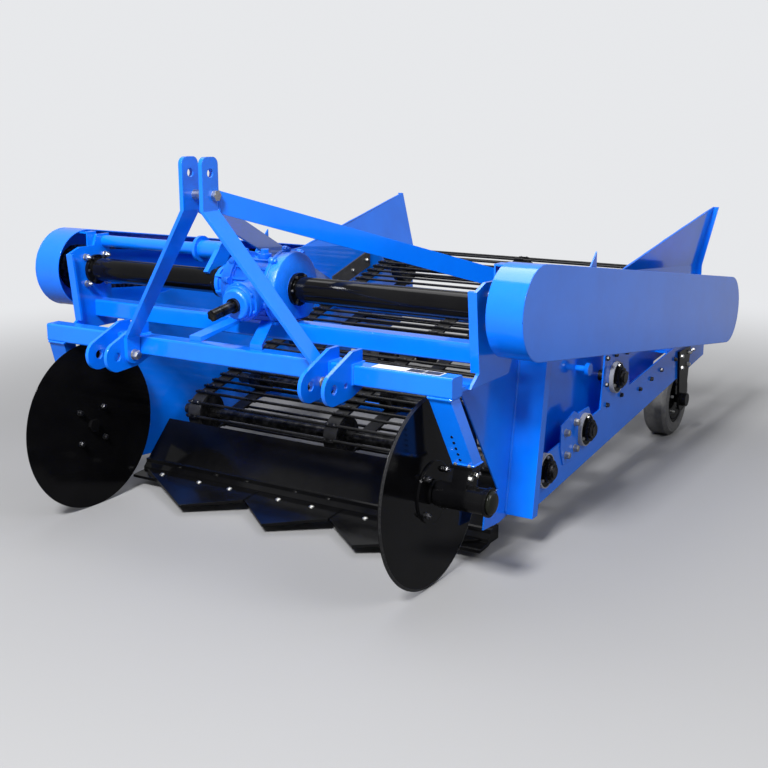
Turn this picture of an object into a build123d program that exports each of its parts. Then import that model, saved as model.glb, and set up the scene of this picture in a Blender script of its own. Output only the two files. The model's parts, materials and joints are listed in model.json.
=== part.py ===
from build123d import *
import math
import os

os.makedirs("parts", exist_ok=True)

# Potato digger, in millimetres, standing on its two discs and two rear wheels.
# +X is the machine's left side, -Y is the hitch end, and the floor is z = 0.
# Every y below is measured from the lower hitch pins. Each piece is moved by half the
# machine's length as it is kept, so the origin is on the floor, below the middle of the machine.

# Hitch
PIN_SPACING = 825.0
PIN_Z = 598.0
PIN_BORE = 28.7
EAR_SPACING = 80.0
EAR_T = 12.0
EAR_NOSE_R = 48.0
TOP_PIN_Y = -8.0
MAST_TOP_Z = 1228.0
TOP_PIN_Z = MAST_TOP_Z - 46.0
TOP_BORE = 25.7
MAST_T = 14.0
MAST_GAP = 60.0
MAST_TOP_WIDTH = 70.0
MAST_FOOT_WIDTH = 58.0
MAST_BEND_Z = TOP_PIN_Z - 107.0
MAST_FOOT_Z = 655.0
MAST_BOLT_R = 8.5
FOOT_Y = 60.0
SPACER_Y = 8.0
SPACER_Z = TOP_PIN_Z - 64.0
SPACER_R = 15.0
SPACER_BOLT_R = 10.0

# Side sheets, which set the machine's width
SHEET_X = 720.0
SHEET_T = 5.0

# Toolbar and rear beam, square tubes
BAR_HALF = SHEET_X + 62.0
BAR = 60.0
BAR_WALL = 6.0
BAR_ROUND = 7.0
BAR_Y = 122.0
BAR_Z = 622.0
BEAM_Y = 350.0
BEAM_Z = 672.0
SEAT_X = -30.0
SEAT_T = 10.0
SEAT_LENGTH = 190.0
SEAT_DEPTH = 150.0

# Side frame
RAIL_X = SHEET_X + 56.0
RAIL_T = 6.0
RAIL_H = 150.0
RAIL_FRONT_Y = 600.0
RAIL_REAR_Y = 2430.0
RAIL_LOW_Z = 106.0
RAIL_RISE = 0.104
POST_X = SHEET_X + 100.0
POST_W = 62.0
POST_T = 6.0
POST_Y = 560.0
POST_LOW = 112.0
POST_TOP = 640.0
POST_DEPTH = 38.0
LEAN = 8.5
EAR_LUG_Y = 1240.0
EAR_LUG_Z = 872.0
WING_FLARE = 60.0
WING_TIP_Y = 2440.0
WING_TIP_Z = 945.0
FOLD_FRONT_Y = 1500.0
FOLD_FRONT_Z = 775.0
FOLD_REAR_Z = 690.0
STAY_H = 66.0
STAY_T = 8.0
STAY_END_Y = 1700.0
STAY_TOP_Z = TOP_PIN_Z - 50.0
STAY_END_Z = 606.0

# Cross shaft, gearbox and chain drive
SHAFT_Y = 333.0
SHAFT_Z = 809.0
TUBE_R = 40.0
SHAFT_R = 20.0
BRACKET_X = BAR_HALF
BRACKET_T = 10.0
BRACE_Y = 384.0
BRACE_Z = 903.0
BRACE_R = 20.5
BRACE_END_X = -330.0
SLEEVE_R = 30.0
SLEEVE_END_X = -236.0
GEARBOX_LEFT_X = 95.0
GEARBOX_RIGHT_X = -200.0
GEARBOX_R = 96.0
DRUM_LEFT = 48.0
DRUM_RIGHT = -108.0
DRUM_R = 88.0
DRUM_RIM = 16.0
RIB_T = 9.0
NECK_R = 52.0
NECK_FLANGE = 14.0
NOSE_R = 62.0
INPUT_TILT = 9.2
INPUT_R = 17.45
INPUT_LENGTH = 108.0
NOSE_LENGTH = 200.0
GUARD_X = BRACKET_X + 43.0
GUARD_W = 112.0
GUARD_WALL = 3.0
GUARD_R = 136.0
GUARD_END_Y = 2235.0
GUARD_END_Z = 540.0
SPROCKET_X = GUARD_X + 51.0
SPROCKET_T = 10.0
SPROCKET_R = 66.0
SMALL_SPROCKET_R = 44.0
CHAIN_W = 16.0
CHAIN_H = 14.0
FRONT_TEETH = 18
REAR_TEETH = 12

# Web conveyor
FRONT_Y = 716.0
FRONT_Z = 224.0
REAR_Y = 2185.0
REAR_Z = 615.0
WEB_R = 70.0
BELT_T = 8.0
BELT_W = 55.0
WEB_HALF = SHEET_X - 65.0
ROD_R = 5.5
ROD_COUNT = 70
UPPER_Y = 1330.0
UPPER_R = 46.0
LOWER_Y = 1050.0
LOWER_R = 40.0
BEARING_R = 54.0
FLAP_T = 8.0
FIT = 0.3

# Discs and wheels
DISC_X = SHEET_X - 44.0
DISC_Y = 170.0
DISC_R = 291.0
DISC_T = 6.0
HUB_FLANGE_R = 92.0
AXLE_TUBE_R = 38.0
STUB_R = 19.0
RUN = 0.06
WHEEL_R = 157.0
WHEEL_W = 96.0
WHEEL_X = SHEET_X
WHEEL_Y = 2131.0
RIM_R = 104.0
WHEEL_STUB_R = 17.5
CLEAR = 6.0
TYRE_ROUND = 14.0
LEG_TOP_X = BAR_HALF - 41.0
LEG_LOW_X = DISC_X + 100.0
LEG_LOW_Y = 200.0
LEG_LOW_Z = DISC_R + 94.0
LEG_WIDTH = 70.0
LEG_DEPTH = 50.0
LEG_WALL = 6.0
HOUSING_IN = DISC_X + DISC_T + 12 + CLEAR
HOUSING_OUT = DISC_X + 192.0

# Share
TIP_Y = 240.0
TIP_PITCH = 355.0
NOTCH_Y = 372.0
BLADE_REAR_Y = 455.0
BLADE_END_X = SHEET_X - 30.0
BLADE_Z = 37.0
BLADE_T = 10.0
BLADE_SLOPE = 5.0
BLADE_GAP = 3.0
CARRIER_Y = 400.0
CARRIER_T = 10.0
CARRIER_X = SHEET_X - FIT


MIDDLE_Y = (DISC_Y - DISC_R + WING_TIP_Y) / 2


def keep(part, name):
    """Move one piece to the machine's own origin, label it and write it."""
    placed = part.moved(Location((0, -MIDDLE_Y, 0)))
    placed.label = name
    export_step(placed, "parts/" + name + ".step")


def keep_pair(part, name):
    """Write the left piece and its mirror image on the right."""
    keep(part, name + "_left")
    keep(mirror(part, about=Plane.YZ), name + "_right")


def outline(points):
    """Face with straight edges, in the sketch that is open."""
    Polygon(*points, align=None)


def web_axis(y):
    """Height of the line between the two end rollers."""
    return FRONT_Z + (REAR_Z - FRONT_Z) * (y - FRONT_Y) / (REAR_Y - FRONT_Y)


def rail_bottom(y):
    """Height of the rail's lower edge, which rises to the rear."""
    return RAIL_LOW_Z + (y - RAIL_FRONT_Y) * RAIL_RISE


WEB_ANGLE = math.degrees(math.atan2(REAR_Z - FRONT_Z, REAR_Y - FRONT_Y))
WEB_LENGTH = math.hypot(REAR_Z - FRONT_Z, REAR_Y - FRONT_Y)
UPPER_Z = web_axis(UPPER_Y) + (WEB_R - FIT - UPPER_R) / math.cos(math.radians(WEB_ANGLE))
LOWER_Z = web_axis(LOWER_Y) - (WEB_R - FIT - LOWER_R) / math.cos(math.radians(WEB_ANGLE))
SHAFTS = ((FRONT_Y, FRONT_Z), (LOWER_Y, LOWER_Z), (UPPER_Y, UPPER_Z), (REAR_Y, REAR_Z))

# Toolbar: square tube with closed ends
with BuildPart() as toolbar:
    with BuildSketch(Plane.YZ.offset(-BAR_HALF)):
        with Locations((BAR_Y, BAR_Z)):
            RectangleRounded(BAR, BAR, BAR_ROUND)
    extrude(amount=2 * BAR_HALF)
    with BuildSketch(Plane.YZ.offset(-BAR_HALF + BAR_WALL)):
        with Locations((BAR_Y, BAR_Z)):
            Rectangle(BAR - 2 * BAR_WALL, BAR - 2 * BAR_WALL)
    extrude(amount=2 * (BAR_HALF - BAR_WALL), mode=Mode.SUBTRACT)
keep(toolbar.part, "toolbar")

# Lower hitch ears: two plates that wrap the toolbar's front
with BuildPart() as hitch_ears:
    for ear_x in (PIN_SPACING / 2 - EAR_SPACING / 2, PIN_SPACING / 2 + EAR_SPACING / 2):
        with BuildSketch(Plane.YZ.offset(ear_x - EAR_T / 2)):
            with Locations((0, PIN_Z)):
                Circle(EAR_NOSE_R)
            outline([
                (-14, PIN_Z + 46), (BAR_Y - 25, BAR_Z + 68), (BAR_Y + 25, BAR_Z + 68),
                (BAR_Y + 25, BAR_Z - 46), (BAR_Y - 35, BAR_Z - 66), (0, PIN_Z - EAR_NOSE_R),
            ])
            with Locations((BAR_Y, BAR_Z)):
                Rectangle(BAR, BAR, mode=Mode.SUBTRACT)
            with Locations((0, PIN_Z)):
                Circle(PIN_BORE / 2, mode=Mode.SUBTRACT)
            with Locations((FOOT_Y, PIN_Z)):
                Circle(MAST_BOLT_R, mode=Mode.SUBTRACT)
        extrude(amount=EAR_T)
keep_pair(hitch_ears.part, "hitch_ears")

# Mast leg: a flat bar, upright at the top pin and bent out to the hitch ears
FOOT_X = PIN_SPACING / 2 - EAR_SPACING / 2 - EAR_T / 2
with BuildPart() as mast_leg:
    with BuildSketch(Plane.YZ.offset(MAST_GAP / 2)):
        with Locations((TOP_PIN_Y, (MAST_TOP_Z + MAST_BEND_Z) / 2)):
            Rectangle(MAST_TOP_WIDTH, MAST_TOP_Z - MAST_BEND_Z)
    extrude(amount=MAST_T)
    fillet(mast_leg.edges().filter_by(Axis.X).group_by(Axis.Z)[-1], 22)
    with BuildSketch(Plane.XY.offset(MAST_BEND_Z)):
        with Locations((MAST_GAP / 2 + MAST_T / 2, TOP_PIN_Y)):
            Rectangle(MAST_T, MAST_TOP_WIDTH)
    with BuildSketch(Plane.XY.offset(MAST_FOOT_Z)):
        with Locations((FOOT_X - MAST_T / 2, FOOT_Y)):
            Rectangle(MAST_T, MAST_FOOT_WIDTH)
    loft(ruled=True)
    with BuildSketch(Plane.YZ.offset(FOOT_X - MAST_T)):
        with Locations((FOOT_Y, PIN_Z)):
            Circle(MAST_FOOT_WIDTH / 2)
        with Locations((FOOT_Y, (PIN_Z + MAST_FOOT_Z) / 2)):
            Rectangle(MAST_FOOT_WIDTH, MAST_FOOT_Z - PIN_Z)
    extrude(amount=MAST_T)
    with BuildSketch(Plane.YZ):
        with Locations((TOP_PIN_Y, TOP_PIN_Z)):
            Circle(TOP_BORE / 2)
        with Locations((SPACER_Y, SPACER_Z)):
            Circle(SPACER_BOLT_R + FIT)
        with Locations((FOOT_Y, PIN_Z)):
            Circle(MAST_BOLT_R)
    extrude(amount=FOOT_X, mode=Mode.SUBTRACT)
keep_pair(mast_leg.part, "mast_leg")

# Spacer bolt between the two mast plates
with BuildPart() as mast_spacer:
    half = MAST_GAP / 2 + MAST_T
    with BuildSketch(Plane.YZ.offset(-MAST_GAP / 2)):
        with Locations((SPACER_Y, SPACER_Z)):
            Circle(SPACER_R)
    extrude(amount=MAST_GAP)
    with BuildSketch(Plane.YZ.offset(-half - 12)):
        with Locations((SPACER_Y, SPACER_Z)):
            Circle(SPACER_BOLT_R)
    extrude(amount=2 * half + 24)
    for head_x in (-half - 12, half):
        with BuildSketch(Plane.YZ.offset(head_x)):
            with Locations((SPACER_Y, SPACER_Z)):
                RegularPolygon(SPACER_R + 1.5, 6)
        extrude(amount=12)
keep(mast_spacer.part, "mast_spacer")

# Stay: flat bar from the mast's rear edge down to the side sheet
STAY_X = MAST_GAP / 2 + MAST_T / 2
STAY_Y = TOP_PIN_Y + MAST_TOP_WIDTH / 2 + 3.4
STAY_END_X = SHEET_X - STAY_T / 2
stay_run = Vector(STAY_END_X - STAY_X, STAY_END_Y - STAY_Y, 0)
stay_plane = Plane(origin=(STAY_X, STAY_Y, 0), x_dir=stay_run, z_dir=stay_run.cross(Vector(0, 0, 1)))
with BuildPart() as stay:
    with BuildSketch(stay_plane.offset(-STAY_T / 2)):
        outline([
            (0, STAY_TOP_Z), (stay_run.length, STAY_END_Z),
            (stay_run.length, STAY_END_Z - STAY_H), (0, STAY_TOP_Z - STAY_H),
        ])
    extrude(amount=STAY_T)
keep_pair(stay.part, "stay")

# Rear beam with the gearbox seat and its two arms to the toolbar
SEAT_Z = BEAM_Z + BAR / 2
with BuildPart() as rear_beam:
    with BuildSketch(Plane.YZ.offset(-BRACKET_X)):
        with Locations((BEAM_Y, BEAM_Z)):
            RectangleRounded(BAR, BAR, BAR_ROUND)
    extrude(amount=2 * BRACKET_X)
    with BuildSketch(Plane.YZ.offset(-BRACKET_X)):
        with Locations((BEAM_Y, BEAM_Z)):
            Rectangle(BAR - 2 * BAR_WALL, BAR - 2 * BAR_WALL)
    extrude(amount=2 * BRACKET_X, mode=Mode.SUBTRACT)
    with BuildSketch(Plane.XY.offset(SEAT_Z)):
        with Locations((SEAT_X, SHAFT_Y)):
            Rectangle(SEAT_LENGTH, SEAT_DEPTH)
    extrude(amount=SEAT_T)
    arm_low = BAR_Z + BAR / 2
    for foot_x, head_x in ((-150, -90), (90, 30)):
        with BuildSketch(Plane.XZ.offset(-BAR_Y)):
            with Locations((foot_x, arm_low + 8)):
                Rectangle(46, 16)
        with BuildSketch(Plane.XZ.offset(-(SHAFT_Y - SEAT_DEPTH / 2))):
            with Locations((head_x, SEAT_Z + SEAT_T / 2)):
                Rectangle(46, SEAT_T)
        loft(ruled=True)
keep(rear_beam.part, "rear_beam")

# Shaft bracket: plate with a flanged front edge and a foot to the toolbar; the right one
# has a raised rear corner that carries the gearbox's brace
rear_corner = {"left": [(392, 888)], "right": [(330, 893), (345, BRACE_Z + 27), (405, BRACE_Z + 27)]}
for side_name, corner in rear_corner.items():
    with BuildPart() as shaft_bracket:
        with BuildSketch(Plane.YZ.offset(BRACKET_X)):
            outline([
                (BAR_Y + BAR / 2 + 30, BAR_Z - 18), (232, 640), (207, 872), (262, 893),
                *corner, (402, 700), (440, 640), (420, BAR_Z - 18),
            ])
            with Locations((SHAFT_Y, SHAFT_Z)):
                Circle(SHAFT_R + FIT, mode=Mode.SUBTRACT)
        extrude(amount=BRACKET_T)
        with BuildSketch(Plane.YZ.offset(BRACKET_X - 18)):
            outline([(232, 640), (207, 872), (217, 874), (242, 642)])
        extrude(amount=18)
        with BuildSketch(Plane.XY.offset(BAR_Z - 18)):
            with Locations(((SHEET_X + SHEET_T + BRACKET_X) / 2, (BAR_Y + BAR / 2 + 260) / 2)):
                Rectangle(BRACKET_X - SHEET_X - SHEET_T, 260 - BAR_Y - BAR / 2)
        extrude(amount=12)
    bracket = shaft_bracket.part
    if side_name == "right":
        bracket = mirror(bracket, about=Plane.YZ)
    keep(bracket, "shaft_bracket_" + side_name)

# Gearbox brace: round bar from the right bracket, with a flanged sleeve and a saddle arm
with BuildPart() as gearbox_brace:
    for start_x, end_x, radius in (
        (-BRACKET_X, BRACE_END_X, BRACE_R),
        (BRACE_END_X - 12, SLEEVE_END_X, SLEEVE_R),
        (BRACE_END_X - 12, BRACE_END_X, SLEEVE_R + 14),
    ):
        with BuildSketch(Plane.YZ.offset(start_x)):
            with Locations((BRACE_Y, BRACE_Z)):
                Circle(radius)
        extrude(amount=end_x - start_x)
    with BuildSketch(Plane.YZ.offset(SLEEVE_END_X - 18)):
        outline([
            (BRACE_Y - SLEEVE_R, BRACE_Z + 6), (SHAFT_Y - 40, SHAFT_Z + 34), (SHAFT_Y - 24, SHAFT_Z + 22),
            (SHAFT_Y + 34, SHAFT_Z + 8), (BRACE_Y + SLEEVE_R, BRACE_Z - 6),
        ])
        with Locations((SHAFT_Y, SHAFT_Z)):
            Circle(TUBE_R + FIT, mode=Mode.SUBTRACT)
    extrude(amount=18)
keep(gearbox_brace.part, "gearbox_brace_right")

# Gearbox: cast drum around the cross shaft, with a nose around the input shaft
input_plane = Plane(
    origin=(0, SHAFT_Y, SHAFT_Z),
    x_dir=(1, 0, 0),
    z_dir=(0, -math.cos(math.radians(INPUT_TILT)), -math.sin(math.radians(INPUT_TILT))),
)
with BuildPart() as gearbox:
    with BuildSketch(Plane.XY):
        outline([
            (GEARBOX_RIGHT_X, 0), (GEARBOX_RIGHT_X, NECK_R), (GEARBOX_RIGHT_X + NECK_FLANGE, NECK_R),
            (GEARBOX_RIGHT_X + NECK_FLANGE, 44), (-140, 50), (DRUM_RIGHT - 14, 84), (DRUM_RIGHT, 90),
            (DRUM_RIGHT, GEARBOX_R), (DRUM_RIGHT + DRUM_RIM, GEARBOX_R), (DRUM_RIGHT + DRUM_RIM, DRUM_R),
            (DRUM_LEFT - DRUM_RIM, DRUM_R), (DRUM_LEFT - DRUM_RIM, GEARBOX_R), (DRUM_LEFT, GEARBOX_R),
            (DRUM_LEFT, 90),
            (DRUM_LEFT + 12, 82), (GEARBOX_LEFT_X - NECK_FLANGE, 50), (GEARBOX_LEFT_X - NECK_FLANGE, NECK_R),
            (GEARBOX_LEFT_X, NECK_R), (GEARBOX_LEFT_X, 0),
        ])
    revolve(axis=Axis.X)
    body = gearbox.part.moved(Location((0, SHAFT_Y, SHAFT_Z)))
with BuildPart() as gearbox:
    add(body)
    with BuildSketch(input_plane):
        Circle(NOSE_R - 8)
    extrude(amount=NOSE_LENGTH - 16)
    with BuildSketch(input_plane.offset(NOSE_LENGTH - 46)):
        Circle(NOSE_R)
    extrude(amount=14)
    with BuildSketch(input_plane.offset(NOSE_LENGTH - 32)):
        Circle(NOSE_R - 14)
    extrude(amount=32)
    chamfer(gearbox.edges().filter_by(GeomType.CIRCLE).sort_by(Axis.Y)[0], 4)
    with BuildSketch(Plane.YZ.offset(DRUM_RIGHT + DRUM_RIM)):
        for rib_angle in (20, 45, 70, 110, 135, 160, 200, 340):
            with Locations((SHAFT_Y, SHAFT_Z)):
                with Locations(Location((0, 0, 0), rib_angle)):
                    with Locations(((GEARBOX_R + DRUM_R) / 2 - 5, 0)):
                        Rectangle(GEARBOX_R - DRUM_R + 6, RIB_T)
    extrude(amount=DRUM_LEFT - DRUM_RIGHT - 2 * DRUM_RIM)
    for neck_x, neck_end in (
        (DRUM_RIGHT - DRUM_RIM, GEARBOX_RIGHT_X + 2),
        (DRUM_LEFT + DRUM_RIM, GEARBOX_LEFT_X - 2),
    ):
        with BuildSketch(Plane.YZ.offset(min(neck_x, neck_end))):
            with Locations((SHAFT_Y, SHAFT_Z)):
                with PolarLocations(NECK_R - 6, 6, start_angle=30):
                    Rectangle(20, RIB_T)
        extrude(amount=abs(neck_end - neck_x))
    with BuildSketch(Plane.YZ.offset(DRUM_RIGHT + 30)):
        with Locations((SHAFT_Y, (SEAT_Z + SEAT_T + SHAFT_Z) / 2)):
            Rectangle(132, SHAFT_Z - SEAT_Z - SEAT_T)
    extrude(amount=DRUM_LEFT - DRUM_RIGHT - 60)
    with BuildSketch(Plane.XY.offset(SEAT_Z + SEAT_T)):
        with Locations((SEAT_X, SHAFT_Y)):
            RectangleRounded(SEAT_LENGTH - 20, SEAT_DEPTH - 10, 16)
    extrude(amount=14)
    with BuildSketch(Plane.XY.offset(SHAFT_Z)):
        with Locations((SEAT_X, SHAFT_Y)):
            Circle(22)
    extrude(amount=GEARBOX_R + 8)
    with BuildSketch(Plane.XY.offset(SHAFT_Z)):
        with Locations((SEAT_X, SHAFT_Y)):
            RegularPolygon(14, 6)
    extrude(amount=GEARBOX_R + 22)
keep(gearbox.part, "gearbox")

# Input shaft: six splines and a plain groove, in the gearbox nose
with BuildPart() as input_shaft:
    with BuildSketch(input_plane.offset(NOSE_LENGTH)):
        Circle(INPUT_R)
        with PolarLocations(INPUT_R + 1.0, 6):
            Rectangle(7.0, 9.0, mode=Mode.SUBTRACT)
    extrude(amount=INPUT_LENGTH)
    with BuildSketch(input_plane.offset(NOSE_LENGTH)):
        Circle(INPUT_R + 6)
    extrude(amount=10)
    with BuildSketch(input_plane.offset(NOSE_LENGTH + INPUT_LENGTH - 42)):
        Circle(INPUT_R + 1)
        Circle(INPUT_R - 3, mode=Mode.SUBTRACT)
    extrude(amount=8, mode=Mode.SUBTRACT)
keep(input_shaft.part, "input_shaft")

# Shaft tubes: from the gearbox necks out to the brackets, flanged at both ends
for name, low_x, high_x in (
    ("shaft_tube_left", GEARBOX_LEFT_X, BRACKET_X),
    ("shaft_tube_right", -BRACKET_X, GEARBOX_RIGHT_X),
):
    with BuildPart() as shaft_tube:
        with BuildSketch(Plane.YZ.offset(low_x)):
            with Locations((SHAFT_Y, SHAFT_Z)):
                Circle(TUBE_R)
        extrude(amount=high_x - low_x)
        for flange_x in (low_x, high_x - 12):
            with BuildSketch(Plane.YZ.offset(flange_x)):
                with Locations((SHAFT_Y, SHAFT_Z)):
                    Circle(NECK_R)
            extrude(amount=12)
        with BuildSketch(Plane.YZ.offset(low_x)):
            with Locations((SHAFT_Y, SHAFT_Z)):
                Circle(TUBE_R - 6)
        extrude(amount=high_x - low_x, mode=Mode.SUBTRACT)
    keep(shaft_tube.part, name)


def sprocket(y, z, radius, teeth):
    """Chain wheel with its teeth and hub."""
    with BuildPart() as wheel:
        with BuildSketch(Plane.YZ.offset(SPROCKET_X - SPROCKET_T / 2)):
            with Locations((y, z)):
                Circle(radius)
                with PolarLocations(radius + 2.0, teeth):
                    RegularPolygon(6.0, 6, mode=Mode.SUBTRACT)
        extrude(amount=SPROCKET_T)
        with BuildSketch(Plane.YZ.offset(SPROCKET_X - 22)):
            with Locations((y, z)):
                Circle(SHAFT_R + 12)
        extrude(amount=44)
    return wheel.part


# Chain wheels on the cross shaft and on the web's drive shaft
front_wheel = sprocket(SHAFT_Y, SHAFT_Z, SPROCKET_R, FRONT_TEETH)
rear_wheel = sprocket(REAR_Y, REAR_Z, SMALL_SPROCKET_R, REAR_TEETH)
with BuildPart() as sprockets:
    add(front_wheel)
    with BuildSketch(Plane.YZ.offset(BRACKET_X)):
        with Locations((SHAFT_Y, SHAFT_Z)):
            Circle(SHAFT_R)
    extrude(amount=SPROCKET_X + 26 - BRACKET_X)
    add(rear_wheel)
keep_pair(sprockets.part, "sprockets")

# Drive chain: one closed run around the two chain wheels
with BuildPart() as drive_chain:
    with BuildSketch(Plane.YZ.offset(SPROCKET_X - CHAIN_W / 2)):
        with Locations((SHAFT_Y, SHAFT_Z)):
            Circle(SPROCKET_R + FIT + CHAIN_H)
        with Locations((REAR_Y, REAR_Z)):
            Circle(SMALL_SPROCKET_R + FIT + CHAIN_H)
        make_hull()
    extrude(amount=CHAIN_W)
    with BuildSketch(Plane.YZ.offset(SPROCKET_X - CHAIN_W / 2)):
        with Locations((SHAFT_Y, SHAFT_Z)):
            Circle(SPROCKET_R + FIT)
        with Locations((REAR_Y, REAR_Z)):
            Circle(SMALL_SPROCKET_R + FIT)
        make_hull()
    extrude(amount=CHAIN_W, mode=Mode.SUBTRACT)
keep_pair(drive_chain.part, "drive_chain")

# Chain guard: a rim with an outer face, open on its inner side, on two tabs
with BuildPart() as guard:
    with BuildSketch(Plane.YZ.offset(GUARD_X)):
        with Locations((SHAFT_Y, SHAFT_Z)):
            Circle(GUARD_R)
        with Locations((GUARD_END_Y, GUARD_END_Z)):
            Circle(GUARD_R)
        make_hull()
    extrude(amount=GUARD_W)
    with BuildSketch(Plane.YZ.offset(GUARD_X)):
        with Locations((SHAFT_Y, SHAFT_Z)):
            Circle(GUARD_R - GUARD_WALL)
        with Locations((GUARD_END_Y, GUARD_END_Z)):
            Circle(GUARD_R - GUARD_WALL)
        make_hull()
    extrude(amount=GUARD_W - GUARD_WALL, mode=Mode.SUBTRACT)
    tab_top = SHAFT_Z + GUARD_R - GUARD_WALL - 3
    with BuildSketch(Plane.XZ.offset(-(SHAFT_Y + 20))):
        outline([
            (BRACKET_X + BRACKET_T, SHAFT_Z + 50), (BRACKET_X + BRACKET_T + 5, SHAFT_Z + 50),
            (BRACKET_X + BRACKET_T + 5, tab_top - 5), (GUARD_X + 12, tab_top - 5),
            (GUARD_X + 12, tab_top + 1), (BRACKET_X + BRACKET_T, tab_top + 1),
        ])
    extrude(amount=44)
    tab_low = GUARD_END_Z - GUARD_R + GUARD_WALL
    with BuildSketch(Plane.XZ.offset(-(GUARD_END_Y + 25))):
        outline([
            (RAIL_X + RAIL_T, tab_low - 70), (RAIL_X + RAIL_T + 5, tab_low - 70),
            (RAIL_X + RAIL_T + 5, tab_low - 1), (GUARD_X + 12, tab_low - 1),
            (GUARD_X + 12, tab_low + 5), (RAIL_X + RAIL_T, tab_low + 5),
        ])
    extrude(amount=50)
keep_pair(guard.part, "guard")

# Side sheet: the frame's wall, with a wing that flares out at the rear top
fold_rear = (WING_TIP_Y, FOLD_REAR_Z)
fold_front = (FOLD_FRONT_Y, FOLD_FRONT_Z)
wing_top = (WING_TIP_Y, WING_TIP_Z)
with BuildPart() as side_sheet:
    with BuildSketch(Plane.YZ.offset(SHEET_X)):
        outline([
            (238, BAR_Z - BAR / 2), (505, 210), (420, 150), (412, 104), (520, 96), (RAIL_FRONT_Y, RAIL_LOW_Z),
            (1860, rail_bottom(1860)), (1930, 352), (WING_TIP_Y - 10, 390), fold_rear, fold_front,
            (EAR_LUG_Y + 16, 762), (EAR_LUG_Y + 12, EAR_LUG_Z), (EAR_LUG_Y - 12, EAR_LUG_Z - 22),
            (EAR_LUG_Y - 70, EAR_LUG_Z - 78), (EAR_LUG_Y - 96, 752), (560, 690), (452, 600),
        ])
        for shaft_y, shaft_z in SHAFTS:
            with Locations((shaft_y, shaft_z)):
                Circle(SHAFT_R + FIT, mode=Mode.SUBTRACT)
    extrude(amount=SHEET_T)
    wing_a = Vector(SHEET_X, *fold_front)
    wing_b = Vector(SHEET_X, *fold_rear)
    wing_c = Vector(SHEET_X + WING_FLARE, *wing_top)
    wing_plane = Plane(origin=wing_a, x_dir=wing_b - wing_a, z_dir=(wing_b - wing_a).cross(wing_c - wing_a))
    tip = wing_plane.to_local_coords(wing_c)
    with BuildSketch(wing_plane):
        outline([(0, 0), ((wing_b - wing_a).length, 0), (tip.X, tip.Y)])
    extrude(amount=-SHEET_T if wing_plane.z_dir.X < 0 else SHEET_T)
    with BuildSketch(Plane.XZ.offset(-WING_TIP_Y)):
        outline([
            (SHEET_X, 390), (SHEET_X + 28, 390), (SHEET_X + 28, FOLD_REAR_Z),
            (SHEET_X + WING_FLARE + 26, WING_TIP_Z), (SHEET_X + WING_FLARE, WING_TIP_Z), (SHEET_X, FOLD_REAR_Z),
        ])
    extrude(amount=SHEET_T)
keep_pair(side_sheet.part, "side_sheet")

# Front post: a leaning angle between the side sheet and the rail
lean = math.tan(math.radians(LEAN))
with BuildPart() as front_post:
    with BuildSketch(Plane.YZ.offset(SHEET_X + SHEET_T)):
        outline([
            (POST_Y, POST_LOW), (POST_Y + POST_T, POST_LOW),
            (POST_Y + POST_T + lean * (POST_TOP - POST_LOW), POST_TOP),
            (POST_Y + lean * (POST_TOP - POST_LOW), POST_TOP),
        ])
    extrude(amount=POST_X - SHEET_X - SHEET_T)
    for wall_x in (POST_X - POST_T, POST_X - POST_W):
        with BuildSketch(Plane.YZ.offset(wall_x)):
            outline([
                (POST_Y, POST_LOW), (POST_Y + POST_DEPTH, POST_LOW),
                (POST_Y + POST_DEPTH + lean * (POST_TOP - POST_LOW), POST_TOP),
                (POST_Y + lean * (POST_TOP - POST_LOW), POST_TOP),
            ])
        extrude(amount=POST_T)
keep_pair(front_post.part, "front_post")

# Rail: a deep channel along the foot of the side sheet, with the bearing plates
post_back = POST_Y + POST_DEPTH + FIT + lean * (rail_bottom(POST_Y) + RAIL_H - POST_LOW)
with BuildPart() as side_rail:
    with BuildSketch(Plane.YZ.offset(RAIL_X)):
        outline([
            (post_back, rail_bottom(post_back)), (RAIL_REAR_Y, rail_bottom(RAIL_REAR_Y)),
            (RAIL_REAR_Y, rail_bottom(RAIL_REAR_Y) + 90), (GUARD_END_Y + 40, rail_bottom(GUARD_END_Y) + RAIL_H),
            (1490, rail_bottom(1490) + RAIL_H), (1460, 505), (1230, 520), (1205, rail_bottom(1205) + RAIL_H),
            (1120, rail_bottom(1120) + RAIL_H), (1095, 352), (1010, 352), (965, rail_bottom(965) + RAIL_H),
            (post_back, rail_bottom(post_back) + RAIL_H),
        ])
        for shaft_y, shaft_z in SHAFTS[:3]:
            with Locations((shaft_y, shaft_z)):
                Circle(SHAFT_R + FIT, mode=Mode.SUBTRACT)
    extrude(amount=RAIL_T)
    with BuildSketch(Plane.YZ.offset(SHEET_X + SHEET_T)):
        outline([
            (post_back, rail_bottom(post_back)), (1860, rail_bottom(1860)),
            (1860, rail_bottom(1860) + RAIL_T), (post_back, rail_bottom(post_back) + RAIL_T),
        ])
        outline([
            (1935, rail_bottom(1935) + RAIL_H - RAIL_T),
            (GUARD_END_Y + 40, rail_bottom(GUARD_END_Y) + RAIL_H - RAIL_T),
            (GUARD_END_Y + 40, rail_bottom(GUARD_END_Y) + RAIL_H), (1935, rail_bottom(1935) + RAIL_H),
        ])
    extrude(amount=RAIL_X - SHEET_X - SHEET_T)
keep_pair(side_rail.part, "side_rail")

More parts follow.
